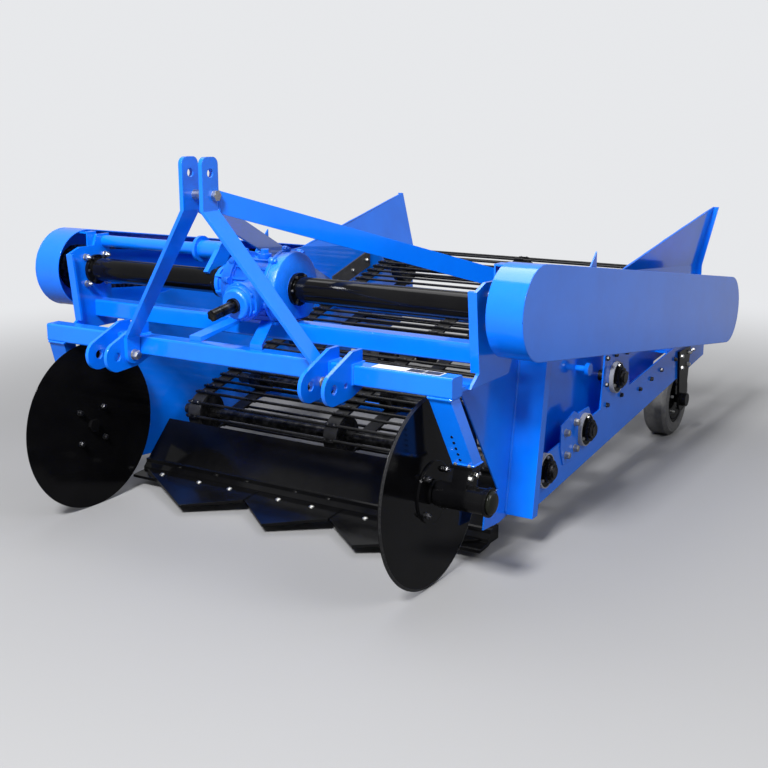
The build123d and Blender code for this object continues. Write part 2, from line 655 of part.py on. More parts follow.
# Bearings: round flanged housings on the side frame, one for each web shaft
bearing_faces = (RAIL_X + RAIL_T, RAIL_X + RAIL_T, RAIL_X + RAIL_T, SHEET_X + SHEET_T)
with BuildPart() as bearings:
    for (shaft_y, shaft_z), face_x in zip(SHAFTS, bearing_faces):
        with BuildSketch(Plane.YZ.offset(face_x)):
            with Locations((shaft_y, shaft_z)):
                Circle(BEARING_R)
                Circle(SHAFT_R + FIT, mode=Mode.SUBTRACT)
        extrude(amount=14)
        with BuildSketch(Plane.YZ.offset(face_x + 14)):
            with Locations((shaft_y, shaft_z)):
                Circle(38)
                Circle(SHAFT_R + FIT, mode=Mode.SUBTRACT)
        extrude(amount=18)
keep_pair(bearings.part, "bearings")


def roller(y, z, half, radius, shaft_half):
    """Shaft with three roller wheels, under the two edge belts and the middle belt."""
    with BuildPart() as made:
        with BuildSketch(Plane.YZ.offset(-shaft_half)):
            with Locations((y, z)):
                Circle(SHAFT_R)
        extrude(amount=2 * shaft_half)
        for wheel_x in (-half, 0, half):
            with BuildSketch(Plane.YZ.offset(wheel_x - BELT_W / 2)):
                with Locations((y, z)):
                    Circle(radius)
            extrude(amount=BELT_W)
    return made.part


BELT_X = WEB_HALF - BELT_W / 2 - 4
SHAFT_END_X = RAIL_X + RAIL_T + 44
keep(roller(FRONT_Y, FRONT_Z, BELT_X, WEB_R - FIT, SHAFT_END_X), "front_roller")
keep(roller(REAR_Y, REAR_Z, BELT_X, WEB_R - FIT, SPROCKET_X - 22), "drive_roller")
keep(roller(UPPER_Y, UPPER_Z, BELT_X, UPPER_R, SHAFT_END_X), "upper_roller")
keep(roller(LOWER_Y, LOWER_Z, BELT_X, LOWER_R, SHAFT_END_X), "lower_roller")

# Web: three belts in one closed run, with steel rods across them
web_plane = Plane(
    origin=(0, FRONT_Y, FRONT_Z),
    x_dir=(0, REAR_Y - FRONT_Y, REAR_Z - FRONT_Z),
    z_dir=(1, 0, 0),
)
with BuildPart() as web_belts:
    for belt_x in (-BELT_X, 0, BELT_X):
        with BuildSketch(web_plane.offset(belt_x - BELT_W / 2)):
            with Locations((WEB_LENGTH / 2, 0)):
                SlotCenterToCenter(WEB_LENGTH, 2 * (WEB_R + BELT_T))
                SlotCenterToCenter(WEB_LENGTH, 2 * WEB_R, mode=Mode.SUBTRACT)
        extrude(amount=BELT_W)
keep(web_belts.part, "web_belts")

BELT_OUT = WEB_R + BELT_T
rod_path = 2 * WEB_LENGTH + 2 * math.pi * BELT_OUT
rod_places = []
for k in range(ROD_COUNT):
    along = rod_path * k / ROD_COUNT
    if along < WEB_LENGTH:
        rod_places.append((along, BELT_OUT, 0))
    elif along < WEB_LENGTH + math.pi * BELT_OUT:
        turn = (along - WEB_LENGTH) / BELT_OUT
        rod_places.append((WEB_LENGTH + BELT_OUT * math.sin(turn), BELT_OUT * math.cos(turn), -turn))
    elif along < 2 * WEB_LENGTH + math.pi * BELT_OUT:
        rod_places.append((2 * WEB_LENGTH + math.pi * BELT_OUT - along, -BELT_OUT, math.pi))
    else:
        turn = (along - 2 * WEB_LENGTH - math.pi * BELT_OUT) / BELT_OUT
        rod_places.append((-BELT_OUT * math.sin(turn), -BELT_OUT * math.cos(turn), math.pi - turn))
with BuildPart() as web_rods:
    for run, rise, turn in rod_places:
        lift = ROD_R + FIT
        centre = (run - lift * math.sin(turn), rise + lift * math.cos(turn))
        with BuildSketch(web_plane.offset(-WEB_HALF)):
            with Locations(centre):
                RegularPolygon(ROD_R, 8)
        extrude(amount=2 * WEB_HALF)
keep(web_rods.part, "web_rods")

# Side flap: rubber strip that closes the gap above the web's rear edge
with BuildPart() as side_flap:
    with BuildSketch(Plane.YZ.offset(SHEET_X - FIT - FLAP_T)):
        outline([
            (STAY_END_Y + 14, web_axis(STAY_END_Y + 14) + 60), (STAY_END_Y + 14, 618), (2024, 708),
            (2024, web_axis(2024) + 60),
        ])
    extrude(amount=FLAP_T)
keep_pair(side_flap.part, "side_flap")

# Cross tubes between the side sheets: one inside the web, one below, one behind
with BuildPart() as cross_tubes:
    for tube_y, tube_z in ((1740, web_axis(1740)), (1200, 200), (2330, 430)):
        with BuildSketch(Plane.YZ.offset(-SHEET_X)):
            with Locations((tube_y, tube_z)):
                Circle(30)
                Circle(25, mode=Mode.SUBTRACT)
        extrude(amount=2 * SHEET_X)
keep(cross_tubes.part, "cross_tubes")

# Leg: square tube from the toolbar's end down and out to the disc axle
with BuildPart() as disc_leg:
    for shrink, mode in ((0, Mode.ADD), (LEG_WALL, Mode.SUBTRACT)):
        with BuildSketch(Plane.XY.offset(BAR_Z - BAR / 2)):
            with Locations((LEG_TOP_X, BAR_Y - 5)):
                Rectangle(LEG_WIDTH - 2 * shrink, LEG_DEPTH - 2 * shrink)
        with BuildSketch(Plane.XY.offset(LEG_LOW_Z)):
            with Locations((LEG_LOW_X, LEG_LOW_Y)):
                Rectangle(LEG_WIDTH - 2 * shrink, LEG_DEPTH - 2 * shrink)
        loft(ruled=True, mode=mode)
keep_pair(disc_leg.part, "disc_leg")

# Disc axle: foot plate, gusset, round housing and the stub that the disc turns on
with BuildPart() as disc_axle:
    with BuildSketch(Plane.XY.offset(LEG_LOW_Z - 10)):
        with Locations((LEG_LOW_X, LEG_LOW_Y)):
            Rectangle(LEG_WIDTH, LEG_DEPTH + 24)
    extrude(amount=10)
    with BuildSketch(Plane.YZ.offset(LEG_LOW_X - 24)):
        outline([
            (DISC_Y - AXLE_TUBE_R + 4, DISC_R), (DISC_Y - 6, LEG_LOW_Z - 10), (LEG_LOW_Y + 37, LEG_LOW_Z - 10),
            (DISC_Y + AXLE_TUBE_R - 4, DISC_R),
        ])
    extrude(amount=48)
    with BuildSketch(Plane.YZ.offset(HOUSING_IN)):
        with Locations((DISC_Y, DISC_R)):
            Circle(AXLE_TUBE_R)
    extrude(amount=HOUSING_OUT - HOUSING_IN)
    with BuildSketch(Plane.YZ.offset(HOUSING_OUT - 10)):
        with Locations((DISC_Y, DISC_R)):
            Circle(AXLE_TUBE_R + 4)
    extrude(amount=10)
    with BuildSketch(Plane.YZ.offset(DISC_X - CLEAR)):
        with Locations((DISC_Y, DISC_R)):
            Circle(STUB_R)
    extrude(amount=HOUSING_IN - DISC_X + CLEAR)
    with BuildSketch(Plane.YZ.offset(DISC_X - CLEAR - 10)):
        with Locations((DISC_Y, DISC_R)):
            RegularPolygon(STUB_R + 5, 6)
    extrude(amount=10)
keep_pair(disc_axle.part, "disc_axle")

# Disc: flat steel coulter with a bevelled edge and a bolted hub flange
with BuildPart() as disc:
    with BuildSketch(Plane.YZ.offset(DISC_X)):
        with Locations((DISC_Y, DISC_R)):
            Circle(DISC_R)
    extrude(amount=DISC_T)
    chamfer(disc.edges().filter_by(GeomType.CIRCLE).sort_by(Axis.X)[-1], 4.0, 8.0)
    with BuildSketch(Plane.YZ.offset(DISC_X + DISC_T)):
        with Locations((DISC_Y, DISC_R)):
            Circle(HUB_FLANGE_R)
    extrude(amount=6)
    with BuildSketch(Plane.YZ.offset(DISC_X + DISC_T)):
        with Locations((DISC_Y, DISC_R)):
            Circle(STUB_R + 16)
    extrude(amount=12)
    with BuildSketch(Plane.YZ.offset(DISC_X)):
        with Locations((DISC_Y, DISC_R)):
            Circle(STUB_R + RUN)
            with PolarLocations(78, 4, start_angle=45):
                Circle(7)
    extrude(amount=DISC_T + 12, mode=Mode.SUBTRACT)
keep_pair(disc.part, "disc")

# Wheel: rubber tyre on a steel rim, turning on a stub
with BuildPart() as wheel_tyre:
    with BuildSketch(Plane.XY) as tread:
        with Locations((0, (WHEEL_R + RIM_R) / 2)):
            Rectangle(WHEEL_W, WHEEL_R - RIM_R)
        chamfer(tread.vertices().group_by(Axis.Y)[-1], TYRE_ROUND)
    revolve(axis=Axis.X)
wheel_centre = Location((WHEEL_X, WHEEL_Y, WHEEL_R))
keep_pair(wheel_tyre.part.moved(wheel_centre), "wheel_tyre")

with BuildPart() as wheel_rim:
    with BuildSketch(Plane.XY):
        outline([
            (-44, WHEEL_STUB_R + RUN), (-44, 32), (-8, 32), (-8, 60), (-20, 92), (-42, 92), (-42, RIM_R),
            (42, RIM_R), (42, 92), (8, 92), (0, 60), (0, 32), (44, 32), (44, WHEEL_STUB_R + RUN),
        ])
    revolve(axis=Axis.X)
keep_pair(wheel_rim.part.moved(wheel_centre), "wheel_rim")

# Wheel bracket: plate on the rail's outer face with the wheel's stub
with BuildPart() as wheel_bracket:
    with BuildSketch(Plane.YZ.offset(RAIL_X + RAIL_T)):
        with Locations((WHEEL_Y, WHEEL_R)):
            Circle(48)
        outline([
            (WHEEL_Y - 46, WHEEL_R + 14), (WHEEL_Y - 74, rail_bottom(WHEEL_Y) + 110),
            (WHEEL_Y + 74, rail_bottom(WHEEL_Y) + 110), (WHEEL_Y + 46, WHEEL_R + 14),
        ])
    extrude(amount=10)
    with BuildSketch(Plane.YZ.offset(RAIL_X + RAIL_T + 10)):
        with Locations((WHEEL_Y, WHEEL_R)):
            Circle(28)
    extrude(amount=20)
    with BuildSketch(Plane.YZ.offset(WHEEL_X - 44 - CLEAR - 10)):
        with Locations((WHEEL_Y, WHEEL_R)):
            Circle(WHEEL_STUB_R)
    extrude(amount=RAIL_X + RAIL_T - WHEEL_X + 44 + CLEAR + 10)
    with BuildSketch(Plane.YZ.offset(WHEEL_X - 44 - CLEAR - 10)):
        with Locations((WHEEL_Y, WHEEL_R)):
            RegularPolygon(WHEEL_STUB_R + 6, 6)
    extrude(amount=10)
keep_pair(wheel_bracket.part, "wheel_bracket")

# Share: three pointed blades on a sloping carrier plate
blade_plane = Plane(
    origin=(0, TIP_Y, BLADE_Z),
    x_dir=(1, 0, 0),
    z_dir=(0, -math.sin(math.radians(BLADE_SLOPE)), math.cos(math.radians(BLADE_SLOPE))),
)
blade_half = TIP_PITCH / 2 - BLADE_GAP
notch = NOTCH_Y - TIP_Y
rear = BLADE_REAR_Y - TIP_Y
with BuildPart() as share_blades:
    with BuildSketch(blade_plane):
        outline([(-blade_half, notch), (0, 0), (blade_half, notch), (blade_half, rear), (-blade_half, rear)])
        for side in (-1, 1):
            outline([
                (side * (blade_half + 2 * BLADE_GAP), notch), (side * TIP_PITCH, 0), (side * BLADE_END_X, rear - 8),
                (side * BLADE_END_X, rear), (side * (blade_half + 2 * BLADE_GAP), rear),
            ])
    extrude(amount=-BLADE_T)
keep(share_blades.part, "share_blades")

slope = math.tan(math.radians(BLADE_SLOPE))
seat_rise = BLADE_Z + (CARRIER_Y - TIP_Y) * slope - BLADE_T / math.cos(math.radians(BLADE_SLOPE))
with BuildPart() as share_carrier:
    with BuildSketch(Plane.YZ.offset(-CARRIER_X)):
        outline([
            (CARRIER_Y, seat_rise), (BLADE_REAR_Y + 2, seat_rise + slope * (BLADE_REAR_Y + 2 - CARRIER_Y)),
            (BLADE_REAR_Y + 3, seat_rise + 16), (608, 208), (614, 200), (BLADE_REAR_Y + 16, seat_rise),
            (BLADE_REAR_Y + 6, seat_rise - CARRIER_T + 4), (CARRIER_Y, seat_rise - CARRIER_T),
        ])
    extrude(amount=2 * CARRIER_X)
    with BuildSketch(Plane.YZ.offset(-CARRIER_X)):
        with Locations((500, seat_rise + 22)):
            Rectangle(56, 44)
    extrude(amount=2 * CARRIER_X)
    with BuildSketch(Plane.YZ.offset(-CARRIER_X + 6)):
        with Locations((500, seat_rise + 22)):
            Rectangle(44, 32)
    extrude(amount=2 * CARRIER_X - 12, mode=Mode.SUBTRACT)
keep(share_carrier.part, "share_carrier")
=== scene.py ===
import json
import math
import random

import bmesh
import bpy
from mathutils import Matrix, Vector


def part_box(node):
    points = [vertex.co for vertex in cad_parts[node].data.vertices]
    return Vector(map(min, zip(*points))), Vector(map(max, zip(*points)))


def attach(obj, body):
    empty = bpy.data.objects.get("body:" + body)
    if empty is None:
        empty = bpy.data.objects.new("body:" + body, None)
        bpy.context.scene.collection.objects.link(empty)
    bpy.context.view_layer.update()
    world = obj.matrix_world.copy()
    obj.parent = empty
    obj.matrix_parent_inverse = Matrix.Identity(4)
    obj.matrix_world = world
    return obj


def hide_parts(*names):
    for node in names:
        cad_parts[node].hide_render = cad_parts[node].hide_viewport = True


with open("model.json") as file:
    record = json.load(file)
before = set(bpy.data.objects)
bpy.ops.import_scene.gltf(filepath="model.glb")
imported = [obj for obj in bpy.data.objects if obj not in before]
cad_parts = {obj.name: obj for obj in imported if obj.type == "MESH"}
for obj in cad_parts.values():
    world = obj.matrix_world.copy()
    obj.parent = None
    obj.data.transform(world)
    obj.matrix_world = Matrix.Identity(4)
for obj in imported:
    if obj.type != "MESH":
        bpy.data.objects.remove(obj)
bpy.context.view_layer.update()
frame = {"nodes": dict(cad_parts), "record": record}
nodes = frame["nodes"]

# Studio. A pale floor that runs out to a pale sky, a large lamp high in front of the machine's left
# corner, a broad soft lamp high at its left side and another overhead. The camera stands just above the
# mast's height.
HITCH_Y = frame["record"]["mounts"][0]["pos_m"][1]
EYE = Vector((2.230, HITCH_Y - 2.591, 1.369))
RIGHT = Vector((0.8495, 0.5271, 0.0))
UP = Vector((-0.1233, 0.1984, 0.9723))
LENS = 54.28
SENSOR = 36.0
AIM = Vector((0.0, HITCH_Y + 1.0, 0.45))
PALE = (0.80, 0.81, 0.83, 1.0)
SKY_ON_MACHINE = 0.23
SKY_IN_GLOSS = 0.50
FLOOR_REACH = 45.0
FLOOR_GREY = (0.27, 0.27, 0.275, 1.0)
# Reflections see the floor near the machine darker than it is lit: painted shade, which darkens what the
# black parts and the side rails reflect.
FLOOR_SHADE_IN_GLOSS = (0.08, 0.08, 0.082, 1.0)
FLOOR_ROUGHNESS = 0.7
FLOOR_FADES_FROM = 1.5
FLOOR_FADES_TO = 4.6


def wire(tree, kind, inputs=(), **settings):
    """Add one shader node, with its settings, and values or links for its inputs."""
    made = tree.nodes.new("ShaderNode" + kind)
    for key, value in settings.items():
        setattr(made, key, value)
    for key, value in dict(inputs).items():
        if isinstance(value, bpy.types.NodeSocket):
            tree.links.new(value, made.inputs[key])
        else:
            made.inputs[key].default_value = value
    return made


camera = bpy.data.objects.new("camera", bpy.data.cameras.new("camera"))
bpy.context.scene.collection.objects.link(camera)
camera.matrix_world = Matrix((RIGHT, UP, RIGHT.cross(UP))).transposed().to_4x4()
camera.location = EYE
camera.data.lens = LENS
camera.data.sensor_width = SENSOR
bpy.context.scene.camera = camera
bpy.context.scene.view_settings.view_transform = "Standard"

for lamp_name, at, size, power in (
    ("key lamp", (1.1, HITCH_Y - 4.8, 5.6), 1.5, 1000.0),
    ("side lamp", (5.6, HITCH_Y + 0.4, 5.2), 3.0, 160.0),
    ("top lamp", (-1.0, HITCH_Y + 1.8, 5.5), 4.0, 145.0),
):
    lamp = bpy.data.objects.new(lamp_name, bpy.data.lights.new(lamp_name, "AREA"))
    bpy.context.scene.collection.objects.link(lamp)
    lamp.location = at
    lamp.rotation_euler = (Vector(at) - AIM).to_track_quat("Z", "Y").to_euler()
    lamp.data.size = size
    lamp.data.energy = power

world = bpy.data.worlds.new("studio")
bpy.context.scene.world = world
world.use_nodes = True
sky = world.node_tree
sky.nodes.clear()
rays = wire(sky, "LightPath").outputs
sky_levels = {"Value": rays["Is Glossy Ray"], "To Min": SKY_ON_MACHINE, "To Max": SKY_IN_GLOSS}
unseen = wire(sky, "MapRange", sky_levels).outputs[0]
seen = wire(sky, "Math", {0: rays["Is Camera Ray"], 1: rays["Is Transmission Ray"]}, operation="MAXIMUM")
strength = wire(sky, "Math", {0: seen.outputs[0], 1: unseen}, operation="MAXIMUM").outputs[0]
backdrop = wire(sky, "Background", {"Color": PALE, "Strength": strength})
wire(sky, "OutputWorld", {"Surface": backdrop.outputs[0]})

floor_mesh = bpy.data.meshes.new("floor")
floor_corners = [(x * FLOOR_REACH, y * FLOOR_REACH, 0.0) for x, y in ((-1, -1), (1, -1), (1, 1), (-1, 1))]
floor_mesh.from_pydata(floor_corners, [], [(0, 1, 2, 3)])
floor = bpy.data.objects.new("floor", floor_mesh)
bpy.context.scene.collection.objects.link(floor)
floor_paint = bpy.data.materials.new("pale floor")
floor_paint.use_nodes = True
floor_tree = floor_paint.node_tree
floor_tree.nodes.clear()
floor_rays = wire(floor_tree, "LightPath").outputs
looked_at = floor_rays["Is Camera Ray"]
in_gloss = floor_rays["Is Glossy Ray"]
# Glossy rays see the floor in a darker grey: painted shade in the machine's reflections.
floor_tint_with_reflected_shade = wire(floor_tree, "Mix", {0: in_gloss, 6: FLOOR_GREY, 7: FLOOR_SHADE_IN_GLOSS}, data_type="RGBA")
floor_look = {"Base Color": floor_tint_with_reflected_shade.outputs[2], "Roughness": FLOOR_ROUGHNESS}
floor_shader = wire(floor_tree, "BsdfPrincipled", floor_look)
floor_spot = wire(floor_tree, "TexCoord").outputs["Object"]
from_machine = wire(floor_tree, "VectorMath", {0: floor_spot}, operation="LENGTH").outputs["Value"]
fade = {"Value": from_machine, "From Min": FLOOR_FADES_FROM, "From Max": FLOOR_FADES_TO}
far = wire(floor_tree, "MapRange", fade, interpolation_type="SMOOTHSTEP").outputs[0]
shown = wire(floor_tree, "Math", {0: looked_at, 1: in_gloss}, operation="MAXIMUM").outputs[0]
share = wire(floor_tree, "Math", {0: far, 1: shown}, operation="MULTIPLY").outputs[0]
brightness = wire(floor_tree, "MapRange", {"Value": looked_at, "To Min": SKY_IN_GLOSS, "To Max": 1.0})
glow = wire(floor_tree, "Emission", {"Color": PALE, "Strength": brightness.outputs[0]})
floor_end = wire(floor_tree, "MixShader", {0: share, 1: floor_shader.outputs[0], 2: glow.outputs[0]})
wire(floor_tree, "OutputMaterial", {"Surface": floor_end.outputs[0]})
floor_mesh.materials.append(floor_paint)

# Toolbar. A square steel tube with welded ends, shot-blasted and sprayed with gloss blue enamel, which
# lies a little uneven, as orange peel. A blank label of printed film, white with two dark fields, is
# stuck on its top, near the left end.
BLUE = (0.0012, 0.170, 0.88, 1.0)
BLUE_THIN = (0.0016, 0.149, 0.79, 1.0)
DUST = (0.42, 0.40, 0.37, 1.0)
EDGE_ROUND = 0.0024
PEEL = 0.00010
SMOOTH_BELOW = math.radians(38.0)
SURFACE = (("Colour", "Color"), ("Roughness", "Float"), ("Height", "Float"))
WELD_PITCH = 0.0032
END_WELD = 0.0048
TUBE_CORNER = 0.004
TUBE_END_IN = 0.0055
LABEL_WHITE = (0.60, 0.61, 0.64, 1.0)
LABEL_GREY = (0.026, 0.026, 0.028, 1.0)
LABEL_FRONT_IN = 0.012
LABEL_BACK_IN = 0.007
LABEL_SUNK = 0.0001
WHITE_FIELD = ((0.515, 0.736),)
DARK_FIELDS = ((0.626, 0.677), (0.680, 0.732))


def effect(name, inputs):
    """Shader node group that puts out colour, roughness and height: its tree, inputs and outputs."""
    tree = bpy.data.node_groups.new(name, "ShaderNodeTree")
    for label, kind, value in inputs:
        socket = tree.interface.new_socket(name=label, in_out="INPUT", socket_type="NodeSocket" + kind)
        socket.default_value = value
    for label, kind in SURFACE:
        tree.interface.new_socket(name=label, in_out="OUTPUT", socket_type="NodeSocket" + kind)
    return tree, tree.nodes.new("NodeGroupInput").outputs, tree.nodes.new("NodeGroupOutput").inputs


def mixed(tree, share, low, high):
    """Colour between two colours."""
    return wire(tree, "Mix", {0: share, 6: low, 7: high}, data_type="RGBA").outputs[2]


def blotches(tree, where, scale, low, high, detail=4.0):
    """Soft noise from 0 to 1, with its contrast set by two levels."""
    noise = wire(tree, "TexNoise", {"Vector": where, "Scale": scale, "Detail": detail, "Roughness": 0.62})
    return wire(tree, "MapRange", {"Value": noise.outputs[0], "From Min": low, "From Max": high}).outputs[0]


def spread(tree, value, low, high):
    """A value from 0 to 1, laid out between two levels."""
    return wire(tree, "MapRange", {"Value": value, "To Min": low, "To Max": high}).outputs[0]


def times(tree, one, other):
    """Product of two values."""
    return wire(tree, "Math", {0: one, 1: other}, operation="MULTIPLY").outputs[0]


def plus(tree, one, other):
    """Sum of two values."""
    return wire(tree, "Math", {0: one, 1: other}, operation="ADD").outputs[0]


def up_facing(tree):
    """1 on faces that look up, 0 on upright ones."""
    up = wire(tree, "SeparateXYZ", {0: wire(tree, "NewGeometry").outputs["Normal"]}).outputs["Z"]
    return wire(tree, "MapRange", {"Value": up, "From Min": 0.25, "From Max": 1.0}).outputs[0]


sprayed, given, result = effect(
    "sprayed enamel",
    (
        ("Full coat", "Color", BLUE), ("Thin coat", "Color", BLUE_THIN), ("Dust", "Float", 0.025),
        ("Gloss", "Float", 0.13),
    ),
)
here = wire(sprayed, "TexCoord").outputs["Object"]
coat = mixed(sprayed, blotches(sprayed, here, 4.0, 0.36, 0.62), given["Thin coat"], given["Full coat"])
specks = times(sprayed, up_facing(sprayed), blotches(sprayed, here, 45.0, 0.4, 0.75, 7.0))
settled = times(sprayed, specks, given["Dust"])
smears = spread(sprayed, blotches(sprayed, here, 9.0, 0.3, 0.75), 0.0, 0.06)
peel = wire(sprayed, "TexNoise", {"Vector": here, "Scale": 260.0, "Detail": 2.0})
sprayed.links.new(mixed(sprayed, settled, coat, DUST), result["Colour"])
sprayed.links.new(plus(sprayed, plus(sprayed, given["Gloss"], smears), settled), result["Roughness"])
sprayed.links.new(peel.outputs[0], result["Height"])


def finish(name, skin, skin_values=(), relief=PEEL, rounding=EDGE_ROUND, **shader_values):
    """Material of one effect group, with softened edges and the shader's own values."""
    made = bpy.data.materials.new(name)
    made.use_nodes = True
    tree = made.node_tree
    tree.nodes.clear()
    group = wire(tree, "Group", skin_values, node_tree=skin)
    edges = wire(tree, "Bevel", {"Radius": rounding}, samples=4)
    raised = {"Height": group.outputs["Height"], "Distance": relief, "Normal": edges.outputs[0]}
    inputs = {"Base Color": group.outputs["Colour"], "Roughness": group.outputs["Roughness"]}
    inputs["Normal"] = wire(tree, "Bump", raised).outputs[0]
    inputs.update({key.replace("_", " "): value for key, value in shader_values.items()})
    shader = wire(tree, "BsdfPrincipled", inputs)
    wire(tree, "OutputMaterial", {"Surface": shader.outputs[0]})
    return made


def dress(paint, *names):
    """Give CAD nodes their finish."""
    for name in names:
        nodes[name].data.materials.clear()
        nodes[name].data.materials.append(paint)


def settle(bm, name, paint, body="frame"):
    """Turn a bmesh into a piece that rides on a body."""
    bmesh.ops.recalc_face_normals(bm, faces=bm.faces)
    mesh = bpy.data.meshes.new(name)
    bm.to_mesh(mesh)
    bm.free()
    mesh.polygons.foreach_set("use_smooth", [True] * len(mesh.polygons))
    mesh.set_sharp_from_angle(angle=SMOOTH_BELOW)
    mesh.materials.append(paint)
    piece = bpy.data.objects.new(name, mesh)
    bpy.context.scene.collection.objects.link(piece)
    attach(piece, body)
    return piece


def plate(bm, corners, depth):
    """Flat plate: its corners in order, pushed along one vector."""
    near = [bm.verts.new(Vector(c)) for c in corners]
    far = [bm.verts.new(Vector(c) + Vector(depth)) for c in corners]
    bm.faces.new(near)
    bm.faces.new(far[::-1])
    for k in range(len(near)):
        bm.faces.new((near[k - 1], near[k], far[k], far[k - 1]))


def round_points(steps, radius, along=0.0, start=0.0):
    """Points of a circle round Z, at a height along it."""
    turns = [start + 2 * math.pi * k / steps for k in range(steps)]
    return [Vector((radius * math.cos(turn), radius * math.sin(turn), along)) for turn in turns]


def join_rings(bm, rings):
    """Faces from each ring of vertices to the next."""
    for low, high in zip(rings, rings[1:]):
        for k in range(len(low)):
            bm.faces.new((low[k - 1], low[k], high[k], high[k - 1]))


def on_line(at, way):
    """Place whose Z lies along a line."""
    return Matrix.Translation(Vector(at)) @ Vector(way).to_track_quat("Z", "Y").to_matrix().to_4x4()


def turned(bm, at, way, profile, steps=20, start=0.0):
    """Turned body along a line: its profile gives radius and distance along, from foot to tip."""
    place = on_line(at, way)
    rings = []
    for radius, along in profile:
        rings.append([bm.verts.new(place @ point) for point in round_points(steps, radius, along, start)])
    join_rings(bm, rings)
    bm.faces.new(rings[0][::-1])
    bm.faces.new(rings[-1])


def bead(bm, path, radius, sides=6, pitch=WELD_PITCH, seed=1):
    """Weld bead along a path: a ribbed, slightly uneven run of metal."""
    rng = random.Random(seed)
    spots = []
    for start, end in zip(path, path[1:]):
        start, end = Vector(start), Vector(end)
        count = max(2, round((end - start).length / pitch))
        spots += [start.lerp(end, k / count) for k in range(count)]
    spots.append(Vector(path[-1]))
    last = len(spots) - 1
    rings = []
    for k, spot in enumerate(spots):
        way = spots[min(k + 1, last)] - spots[max(k - 1, 0)]
        turn = way.to_track_quat("Z", "Y")
        size = radius * ((0.86, 1.08, 0.98)[k % 3] + rng.uniform(-0.07, 0.07))
        size *= 0.6 if k in (0, last) else 1.0
        rings.append([bm.verts.new(spot + turn @ point) for point in round_points(sides, size)])
    join_rings(bm, rings)
    bm.faces.new(rings[0][::-1])
    bm.faces.new(rings[-1])


blue_enamel = finish("blue enamel", sprayed, Coat_Weight=0.6, Coat_Roughness=0.05)
dress(blue_enamel, "toolbar")
bar_low, bar_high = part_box("toolbar")
toolbar_welds = bmesh.new()
low, high = bar_low.z + TUBE_CORNER, bar_high.z - TUBE_CORNER
front, back = bar_low.y + TUBE_CORNER, bar_high.y - TUBE_CORNER
for side in (-1, 1):
    end = side * (bar_high.x - TUBE_END_IN)
    seam = [(end, front, low), (end, back, low), (end, back, high), (end, front, high), (end, front, low)]
    bead(toolbar_welds, seam, END_WELD, seed=3 + side)
settle(toolbar_welds, "toolbar_end_welds", blue_enamel)

printed, given, result = effect("printed film", (("Tint", "Color", LABEL_WHITE), ("Fade", "Float", 0.15)))
here = wire(printed, "TexCoord").outputs["Object"]
faded = times(printed, blotches(printed, here, 60.0, 0.35, 0.7), given["Fade"])
film_gloss = spread(printed, blotches(printed, here, 25.0, 0.3, 0.7), 0.3, 0.5)
printed.links.new(mixed(printed, faded, given["Tint"], DUST), result["Colour"])
printed.links.new(film_gloss, result["Roughness"])
printed.links.new(blotches(printed, here, 140.0, 0.2, 0.8), result["Height"])
label_z = bar_high.z - LABEL_SUNK
for name, tint, thick, margin, fields in (
    ("label_left_part", LABEL_WHITE, 0.0005, 0.0, WHITE_FIELD),
    ("label_right_part", LABEL_GREY, 0.0007, 0.004, DARK_FIELDS),
):
    label = bmesh.new()
    front, back = bar_low.y + LABEL_FRONT_IN + margin, bar_high.y - LABEL_BACK_IN - margin
    for low, high in fields:
        corners = [(low, front, label_z), (high, front, label_z), (high, back, label_z), (low, back, label_z)]
        plate(label, corners, (0, 0, thick))
    film = finish(
        name.replace("_", " "), printed, {"Tint": tint, "Fade": 0.04}, relief=0.00003, rounding=0.0004,
        Specular_IOR_Level=0.2,
    )
    settle(label, name, film)

# Hitch ears. Pairs of thick flame-cut plates, slotted over the toolbar and welded to it all round. A
# zinc-plated bolt goes through the inner ear of each pair and the mast's foot.
PIN_X = 0.4125
PIN_Z = 0.598
EAR_HALF = 0.040
EAR_T = 0.012
MAST_T = 0.014
FOOT_Y = HITCH_Y + 0.060
FOOT_BOLT = 0.027
EAR_WELD = 0.0045
EAR_WELD_OUT = 0.0012
WASHER_R = 0.64
WASHER_T = 0.10
CORNER_R = 0.577
HEAD_HEIGHT = 0.64
NUT_HEIGHT = 0.78
THREAD = 0.0016
ZINC = (0.62, 0.62, 0.60, 1.0)
ZINC_DULL = (0.40, 0.40, 0.38, 1.0)
dress(blue_enamel, "hitch_ears_left", "hitch_ears_right")

plated, given, result = effect(
    "plated zinc", (("Bright", "Color", ZINC), ("Dull", "Color", ZINC_DULL), ("Polish", "Float", 0.28)),
)
here = wire(plated, "TexCoord").outputs["Object"]
spangle = blotches(plated, here, 220.0, 0.35, 0.7)
tarnish = spread(plated, blotches(plated, here, 90.0, 0.3, 0.7), 0.0, 0.18)
plated.links.new(mixed(plated, spangle, given["Dull"], given["Bright"]), result["Colour"])
plated.links.new(plus(plated, tarnish, given["Polish"]), result["Roughness"])
plated.links.new(spangle, result["Height"])
zinc = finish("zinc plate", plated, relief=0.00004, rounding=0.0006, Metallic=1.0)
black_bolt = finish(
    "blacked fasteners", plated, {"Bright": (0.10, 0.10, 0.105, 1.0), "Dull": (0.035, 0.035, 0.038, 1.0)},
    relief=0.00004, rounding=0.0006, Metallic=1.0,
)


def hex_head(bm, at, way, across, start=0.0, washer=True):
    """Bolt head on its washer: across is the distance between two flats."""
    at, way = Vector(at), Vector(way).normalized()
    lift = 0.0
    if washer:
        lift = WASHER_T * across
        rim = WASHER_R * across
        turned(bm, at, way, ((rim, -0.001), (rim, lift * 0.7), (0.58 * across, lift)), 20)
    tip, high = CORNER_R * across, HEAD_HEIGHT * across
    turned(bm, at + way * lift, way, ((tip, -0.0005), (tip, high * 0.8), (tip * 0.86, high)), 6, start)
    turned(bm, at + way * lift, way, ((0.40 * across, high - 0.001), (0.36 * across, high + 0.0007)), 16)


